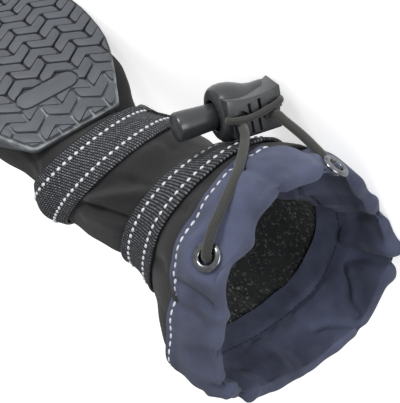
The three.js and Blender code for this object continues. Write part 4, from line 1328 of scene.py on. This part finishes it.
def strap_piece(name, band, profile, start, end, count=60):
    """A length of webbing between two angles, with its ends closed."""
    angles = np.radians(np.linspace(start, end, count))
    grid = strap_grid(band, profile, angles).transpose(1, 0, 2)
    run = run_along(grid[:, STRAP_MIDDLE])
    v = np.append(profile[:, 0], profile[0, 0])
    uv = np.stack(np.broadcast_arrays(run[:, None], v[None, :]), -1)
    uv = np.concatenate([uv, uv[-1:]])
    return skin(name, grid, uv)


class DOGBOOT_OT_straps(bpy.types.Operator):
    """Sews the two webbing straps and the hook-and-loop end of the ankle strap"""
    bl_idname = "dogboot.straps"
    bl_label = "Straps"

    def execute(self, context):
        thickness = sizes().strap_thickness / MM
        webbing = webbing_material("Webbing", colours().webbing, colours().fleck)
        pile = fleece_material("Hook and loop", shade(colours().webbing, 0.7), shade(colours().webbing, 2.5))
        profile = strap_profile(STRAP_WIDTH, STRAP_LOW, thickness)
        for part, band in (("ankle", ANKLE_BAND), ("shaft", SHAFT_BAND)):
            loop = strap_loop(part + "_webbing", band, profile)
            finish_piece(loop, webbing, nodes=["strap_" + part])
        lapped = strap_profile(STRAP_WIDTH - 1, LAP_LOW + thickness, LAP_THICKNESS)
        tab = strap_piece("ankle_tab", ANKLE_BAND, lapped, *TAB_ANGLES)
        finish_piece(tab, pile, nodes=["strap_ankle_tab"])
        return {"FINISHED"}


# Stitches
SEAM_PITCH = 2.2
SEAM_STITCH = 1.8
SEAM_THREAD = 0.7


def even_walk(points, pitch):
    """Points at an even pace along a line, and its direction there."""
    run = run_along(points)
    at = np.arange(pitch / 2, run[-1], pitch)
    ahead, behind = (sampled(points, run, at + pitch * step) for step in (0.2, -0.2))
    return sampled(points, run, at), unit(ahead - behind)


def stitch_tree():
    """Puts one short thread on every point, along 'along' and facing 'out'."""
    tree = bpy.data.node_groups.new("Stitches", "GeometryNodeTree")
    tree.interface.new_socket(name="Geometry", in_out="INPUT", socket_type="NodeSocketGeometry")
    for label, default in (("Length", 1.5 * MM), ("Width", 0.8 * MM)):
        made = tree.interface.new_socket(name=label, in_out="INPUT", socket_type="NodeSocketFloat")
        made.default_value = default
        made.subtype = "DISTANCE"
    tree.interface.new_socket(name="Thread", in_out="INPUT", socket_type="NodeSocketMaterial")
    tree.interface.new_socket(name="Geometry", in_out="OUTPUT", socket_type="NodeSocketGeometry")
    n = Nodes(tree)
    src = tree.nodes.new("NodeGroupInput").outputs
    out = tree.nodes.new("NodeGroupOutput").inputs
    ball = n.add("GeometryNodeMeshUVSphere", {"Segments": 8, "Rings": 6, "Radius": 0.5})
    height = n.math("MULTIPLY", src["Width"], 0.75)
    size = n.add("ShaderNodeCombineXYZ", {0: src["Length"], 1: src["Width"], 2: height})
    shaped = n.add("GeometryNodeTransform", {"Geometry": ball.outputs[0], "Scale": size.outputs[0]})
    soft = n.add("GeometryNodeSetShadeSmooth", {"Geometry": shaped.outputs[0]})
    ways = []
    for name in ("along", "out"):
        way = n.add("GeometryNodeInputNamedAttribute", {"Name": name}, data_type="FLOAT_VECTOR")
        ways.append(way.outputs[0])
    turn = n.add("FunctionNodeAxesToRotation", {0: ways[1], 1: ways[0]}, primary_axis="Z", secondary_axis="X")
    dots = n.add("GeometryNodeMeshToPoints", {"Mesh": src["Geometry"]})
    put = n.add("GeometryNodeInstanceOnPoints",
                {"Points": dots.outputs[0], "Instance": soft.outputs[0], "Rotation": turn.outputs[0]})
    real = n.add("GeometryNodeRealizeInstances", {"Geometry": put.outputs[0]})
    done = n.add("GeometryNodeSetMaterial", {"Geometry": real.outputs[0], "Material": src["Thread"]})
    n.link(done.outputs[0], out["Geometry"])
    return tree


def stitch_object(name, rows, tree, thread, length, width):
    """rows are (points, along, out) of each stitched line in boot axes."""
    points, along, out = (np.concatenate(part) for part in zip(*rows))
    mesh = bpy.data.meshes.new(name)
    mesh.from_pydata(to_world(points).tolist(), [], [])
    for label, values in (("along", along), ("out", out)):
        layer = mesh.attributes.new(label, "FLOAT_VECTOR", "POINT")
        layer.data.foreach_set("vector", way_to_world(values).astype(np.float32).ravel())
    obj = bpy.data.objects.new(name, mesh)
    bpy.context.scene.collection.objects.link(obj)
    mod = obj.modifiers.new("Stitches", "NODES")
    mod.node_group = tree
    sockets = {s.name: s.identifier for s in tree.interface.items_tree if s.in_out == "INPUT"}
    mod[sockets["Length"]] = length
    mod[sockets["Width"]] = width
    mod[sockets["Thread"]] = thread
    settle(obj)
    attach(obj, BOOT)
    return obj


def sewn_row(grid, outwards, pitch):
    """Stitches along the first of three lines side by side: places, ways along, and ways out of the cloth."""
    line, along = even_walk(grid[0], pitch)
    normal = unit(np.cross(unit(np.gradient(grid[0], axis=0)), unit(grid[2] - grid[1])))
    normal *= np.sign((normal * outwards).sum(1))[:, None]
    run = run_along(grid[0])
    return line, along, unit(sampled(normal, run, np.arange(pitch / 2, run[-1], pitch)))


def strap_rows(band, across, lift, pitch, count=720):
    """A row of stitches round a strap at a distance across it."""
    angles = np.arange(count + 1) / count * 2 * np.pi
    profile = np.array([(across, lift), (across - 0.5, lift), (across + 0.5, lift)])
    grid = strap_grid(band, profile, angles)
    return sewn_row(grid, grid[0] - band.centre, pitch)


def cuff_rows(past, pitch):
    """A row of stitches round the collar, so many millimetres past the rim, minus outside."""
    angles = np.linspace(0, 2 * np.pi, 900)
    side = 1 if past < 0 else -1
    lift = OUTER_LIFT if past < 0 else INNER_LIFT
    profile = np.array([(-abs(q), lift, q, side, 0) for q in (past, past - 0.4, past + 0.4)])
    grid = cuff_grid(profile, angles)
    middle = frame_at(place_of(1 - abs(past) / SHAFT_LENGTH))[0]
    return sewn_row(grid, (grid[0] - middle) * side, pitch)


class DOGBOOT_OT_stitches(bpy.types.Operator):
    """Sews the reflective rows on the straps and the seams of the collar"""
    bl_idname = "dogboot.stitches"
    bl_label = "Stitches"

    def execute(self, context):
        s = sizes()
        pitch = s.stitch_pitch / MM
        top = STRAP_LOW + s.strap_thickness / MM + STRAP_CROWN
        tree = stitch_tree()
        white = thread_material("Reflective thread", colours().thread)
        blue = thread_material("Seam thread", colours().seam)
        rows = []
        for band in (ANKLE_BAND, SHAFT_BAND):
            for across in (-STITCH_ROW, STITCH_ROW):
                rows.append(strap_rows(band, across, top, pitch))
        stitch_object("strap_stitches", rows, tree, white, s.stitch_length, s.stitch_width)
        outer = [cuff_rows(-CUFF_DEPTH + OUTER_STITCH, pitch * 1.05)]
        longer, thinner = s.stitch_length * 1.25, s.stitch_width * 0.8
        stitch_object("collar_stitches", outer, tree, white, longer, thinner)
        inner = [cuff_rows(SEAM_DEPTH, SEAM_PITCH)]
        stitch_object("collar_seam", inner, tree, blue, SEAM_STITCH * MM, SEAM_THREAD * MM)
        return {"FINISHED"}


# Eyelets
EYELET_PROFILE = [
    (2.3, -1.2), (2.75, -1.2), (2.8, 0.2), (4.35, 0.25), (4.6, 0.42), (4.55, 0.68), (4.25, 0.9), (3.7, 1.12),
    (3.1, 1.18), (2.65, 1.05), (2.38, 0.75), (2.3, 0.3), (2.3, -1.2),
]


class DOGBOOT_OT_eyelets(bpy.types.Operator):
    """Presses the two metal eyelets into the collar"""
    bl_idname = "dogboot.eyelets"
    bl_label = "Eyelets"

    def execute(self, context):
        material = metal_material("Gunmetal", colours().metal)
        for side, node in ((1, "eyelet_left"), (-1, "eyelet_right")):
            centre, normal = eyelet_seat(side)
            turn = Vector(normal).to_track_quat("Z", "Y").to_matrix().to_4x4()
            matrix = Matrix.Translation(Vector(centre)) @ turn
            made = lathe(node + "_ring", EYELET_PROFILE, matrix, 64, sharp=50)
            finish_piece(made, material, nodes=[node])
        return {"FINISHED"}


# Cord lock
BARREL_TOP = 1.6
BARREL_BACK = 3.4
LOCK_BACK = 11
LOCK_LENGTH = 20
BUTTON_LENGTH = 14.5
BUTTON_END = -LOCK_LENGTH / 2 + 0.9
BUTTON_DIAMETER = 9.4
BORE_RADIUS = BUTTON_DIAMETER / 2 + 0.4
BORE_END = -LOCK_LENGTH / 2 + 4
BORE_ROOM = 0.3
HEAD_EDGE = 0.45
BODY_EDGE = 0.5

# Turned shapes as (radius, height) corners
HOLE_PROFILE = [(0, 1.5), (2.6, 1.5), (2.6, 6.0), (2.9, 6.8), (3.1, 9), (0, 9)]
BARREL_PROFILE = [
    (BORE_RADIUS, BORE_END), (BORE_RADIUS, -9.7), (BORE_RADIUS + 0.3, -10), (6.9, -10), (8.1, -9.5),
    (8.9, -8.7), (9.4, -7.2), (9.5, -5), (9.1, -2.6), (8.3, -0.4), (7.3, 2), (6.8, 4.6), (6.9, 7.6),
    (6.7, 9.6), (5.9, 10.8), (4, 11.3), (0.01, 11.4), (0.01, BORE_END), (BORE_RADIUS, BORE_END),
]
BUTTON_PROFILE = [
    (0.01, 0), (3.3, 0), (4.4, 0.4), (4.85, 1.4), (4.8, 4), (4.45, 9), (4.25, BUTTON_LENGTH - 0.4),
    (3.9, BUTTON_LENGTH), (0.01, BUTTON_LENGTH),
]
HOLE_ASIDE = 5
HOLE_UP = 0.9
SLOT_WIDTH = 1
SLOT_FLOOR = 4.6
# Slots in the block's face: middle across, low and high ends
SLOTS = [(-1.6, 2.0, 5.4), (1.9, 2.4, 6.0), (-1.3, -4.6, 0.6), (1.4, -4.6, 0.8)]

# The head of the block and the body under it, seen from the front
HEAD = [
    (-9.3, 1.3), (9.4, 1.3), (9.6, 8.3), (6.4, 7.5), (3, 7.1), (0, 7.0), (-3, 7.2), (-6, 7.7), (-8.8, 8.3),
]
BODY = [(-6.8, -5.6), (8.6, -5.6), (9.0, -4.6), (9.0, 2), (-7.4, 2), (-7.4, -5)]
HEAD_BACK = -3.4
HEAD_CORNER = (9.6, 8.3)
HEAD_PEAK = (10.2, 9.6)
BODY_FACE = 6.2


def lock_block():
    """The block in front of the barrel, with its dished top, cord holes, slots and the button's bore."""
    matrix = lock_matrix("a", "t", "f")
    head = slab_mesh("cord_lock_block", HEAD, HEAD_BACK, LOCK_FACE, matrix)
    corner = to_world(in_lock(*HEAD_CORNER, HEAD_BACK))
    for vertex in head.data.vertices:
        if np.linalg.norm(np.array(vertex.co) - corner) < 0.2 * MM:
            vertex.co = to_world(in_lock(*HEAD_PEAK, HEAD_BACK))
    bevel(head, HEAD_EDGE, 3, 30)
    body = slab_mesh("lock_body", BODY, -1, BODY_FACE, matrix)
    bevel(body, BODY_EDGE, 2, 30)
    cut(head, body, operation="UNION")
    tools = []
    for side in (-1, 1):
        place = (side * HOLE_ASIDE, HOLE_UP, 0)
        tools.append(lathe("hole", HOLE_PROFILE, lock_matrix("a", "t", "f", place), 40))
    for x, low, high in SLOTS:
        left, right = x - SLOT_WIDTH / 2, x + SLOT_WIDTH / 2
        slot = [(left, low), (right, low), (right, high), (left, high)]
        tools.append(slab_mesh("slot", slot, SLOT_FLOOR, 9, matrix))
    radius, end = BORE_RADIUS + BORE_ROOM, BORE_END + BORE_ROOM
    room = [(0, -12), (radius, -12), (radius, end), (0, end)]
    tools.append(lathe("bore", room, lock_matrix("t", "f", "a", (0, BARREL_TOP, -BARREL_BACK)), 72))
    cut(head, *tools)
    head.data.set_sharp_from_angle(angle=SHARP_ANGLE)
    return head


def lock_barrel():
    """The round barrel behind the block, wide where the button goes in."""
    matrix = lock_matrix("t", "f", "a", (0, BARREL_TOP, -BARREL_BACK))
    barrel = lathe("cord_lock_barrel", BARREL_PROFILE, matrix, 72)
    square = [(-20, -20), (20, -20), (20, 20), (-20, 20)]
    cut(barrel, slab_mesh("trim", square, -30, -LOCK_BACK, lock_matrix("a", "t", "f")))
    barrel.data.set_sharp_from_angle(angle=SHARP_ANGLE)
    return barrel


class DOGBOOT_OT_cord_lock(bpy.types.Operator):
    """Moulds the cord lock's barrel, block and spring button"""
    bl_idname = "dogboot.cord_lock"
    bl_label = "Cord lock"

    def execute(self, context):
        plastic = plastic_material("Lock plastic", colours().plastic, shade(colours().plastic, 1.5))
        finish_piece(lock_block(), plastic, nodes=["cord_lock_body"])
        finish_piece(lock_barrel(), plastic)
        place = (BUTTON_END - BUTTON_LENGTH, BARREL_TOP, -BARREL_BACK)
        button = lathe("cord_lock_push", BUTTON_PROFILE, lock_matrix("t", "f", "a", place), 64, sharp=50)
        finish_piece(button, plastic, body=BUTTON, nodes=["cord_lock_button"])
        return {"FINISHED"}


# Panel
OPERATORS = (
    DOGBOOT_OT_stage, DOGBOOT_OT_drawcord, DOGBOOT_OT_outsole, DOGBOOT_OT_upper, DOGBOOT_OT_insole,
    DOGBOOT_OT_collar, DOGBOOT_OT_straps, DOGBOOT_OT_stitches, DOGBOOT_OT_eyelets, DOGBOOT_OT_cord_lock,
)


class DOGBOOT_PT_build(bpy.types.Panel):
    bl_label = "Dog boot"
    bl_idname = "DOGBOOT_PT_build"
    bl_space_type = "VIEW_3D"
    bl_region_type = "UI"
    bl_category = "Dog boot"

    def draw(self, context):
        for settings in (context.scene.boot_sizes, context.scene.boot_colours):
            box = self.layout.box()
            for key in settings.__annotations__:
                box.prop(settings, key)
        for operator in OPERATORS:
            self.layout.operator(operator.bl_idname)


CLASSES = (BootSizes, BootColours, *OPERATORS, DOGBOOT_PT_build)


def register():
    for cls in CLASSES:
        bpy.utils.register_class(cls)
    bpy.types.Scene.boot_sizes = bpy.props.PointerProperty(type=BootSizes)
    bpy.types.Scene.boot_colours = bpy.props.PointerProperty(type=BootColours)


def unregister():
    del bpy.types.Scene.boot_sizes
    del bpy.types.Scene.boot_colours
    for cls in reversed(CLASSES):
        bpy.utils.unregister_class(cls)


def main():
    register()
    for operator in OPERATORS:
        section, name = operator.bl_idname.split(".")
        getattr(getattr(bpy.ops, section), name)()


if __name__ == "__main__":
    main()
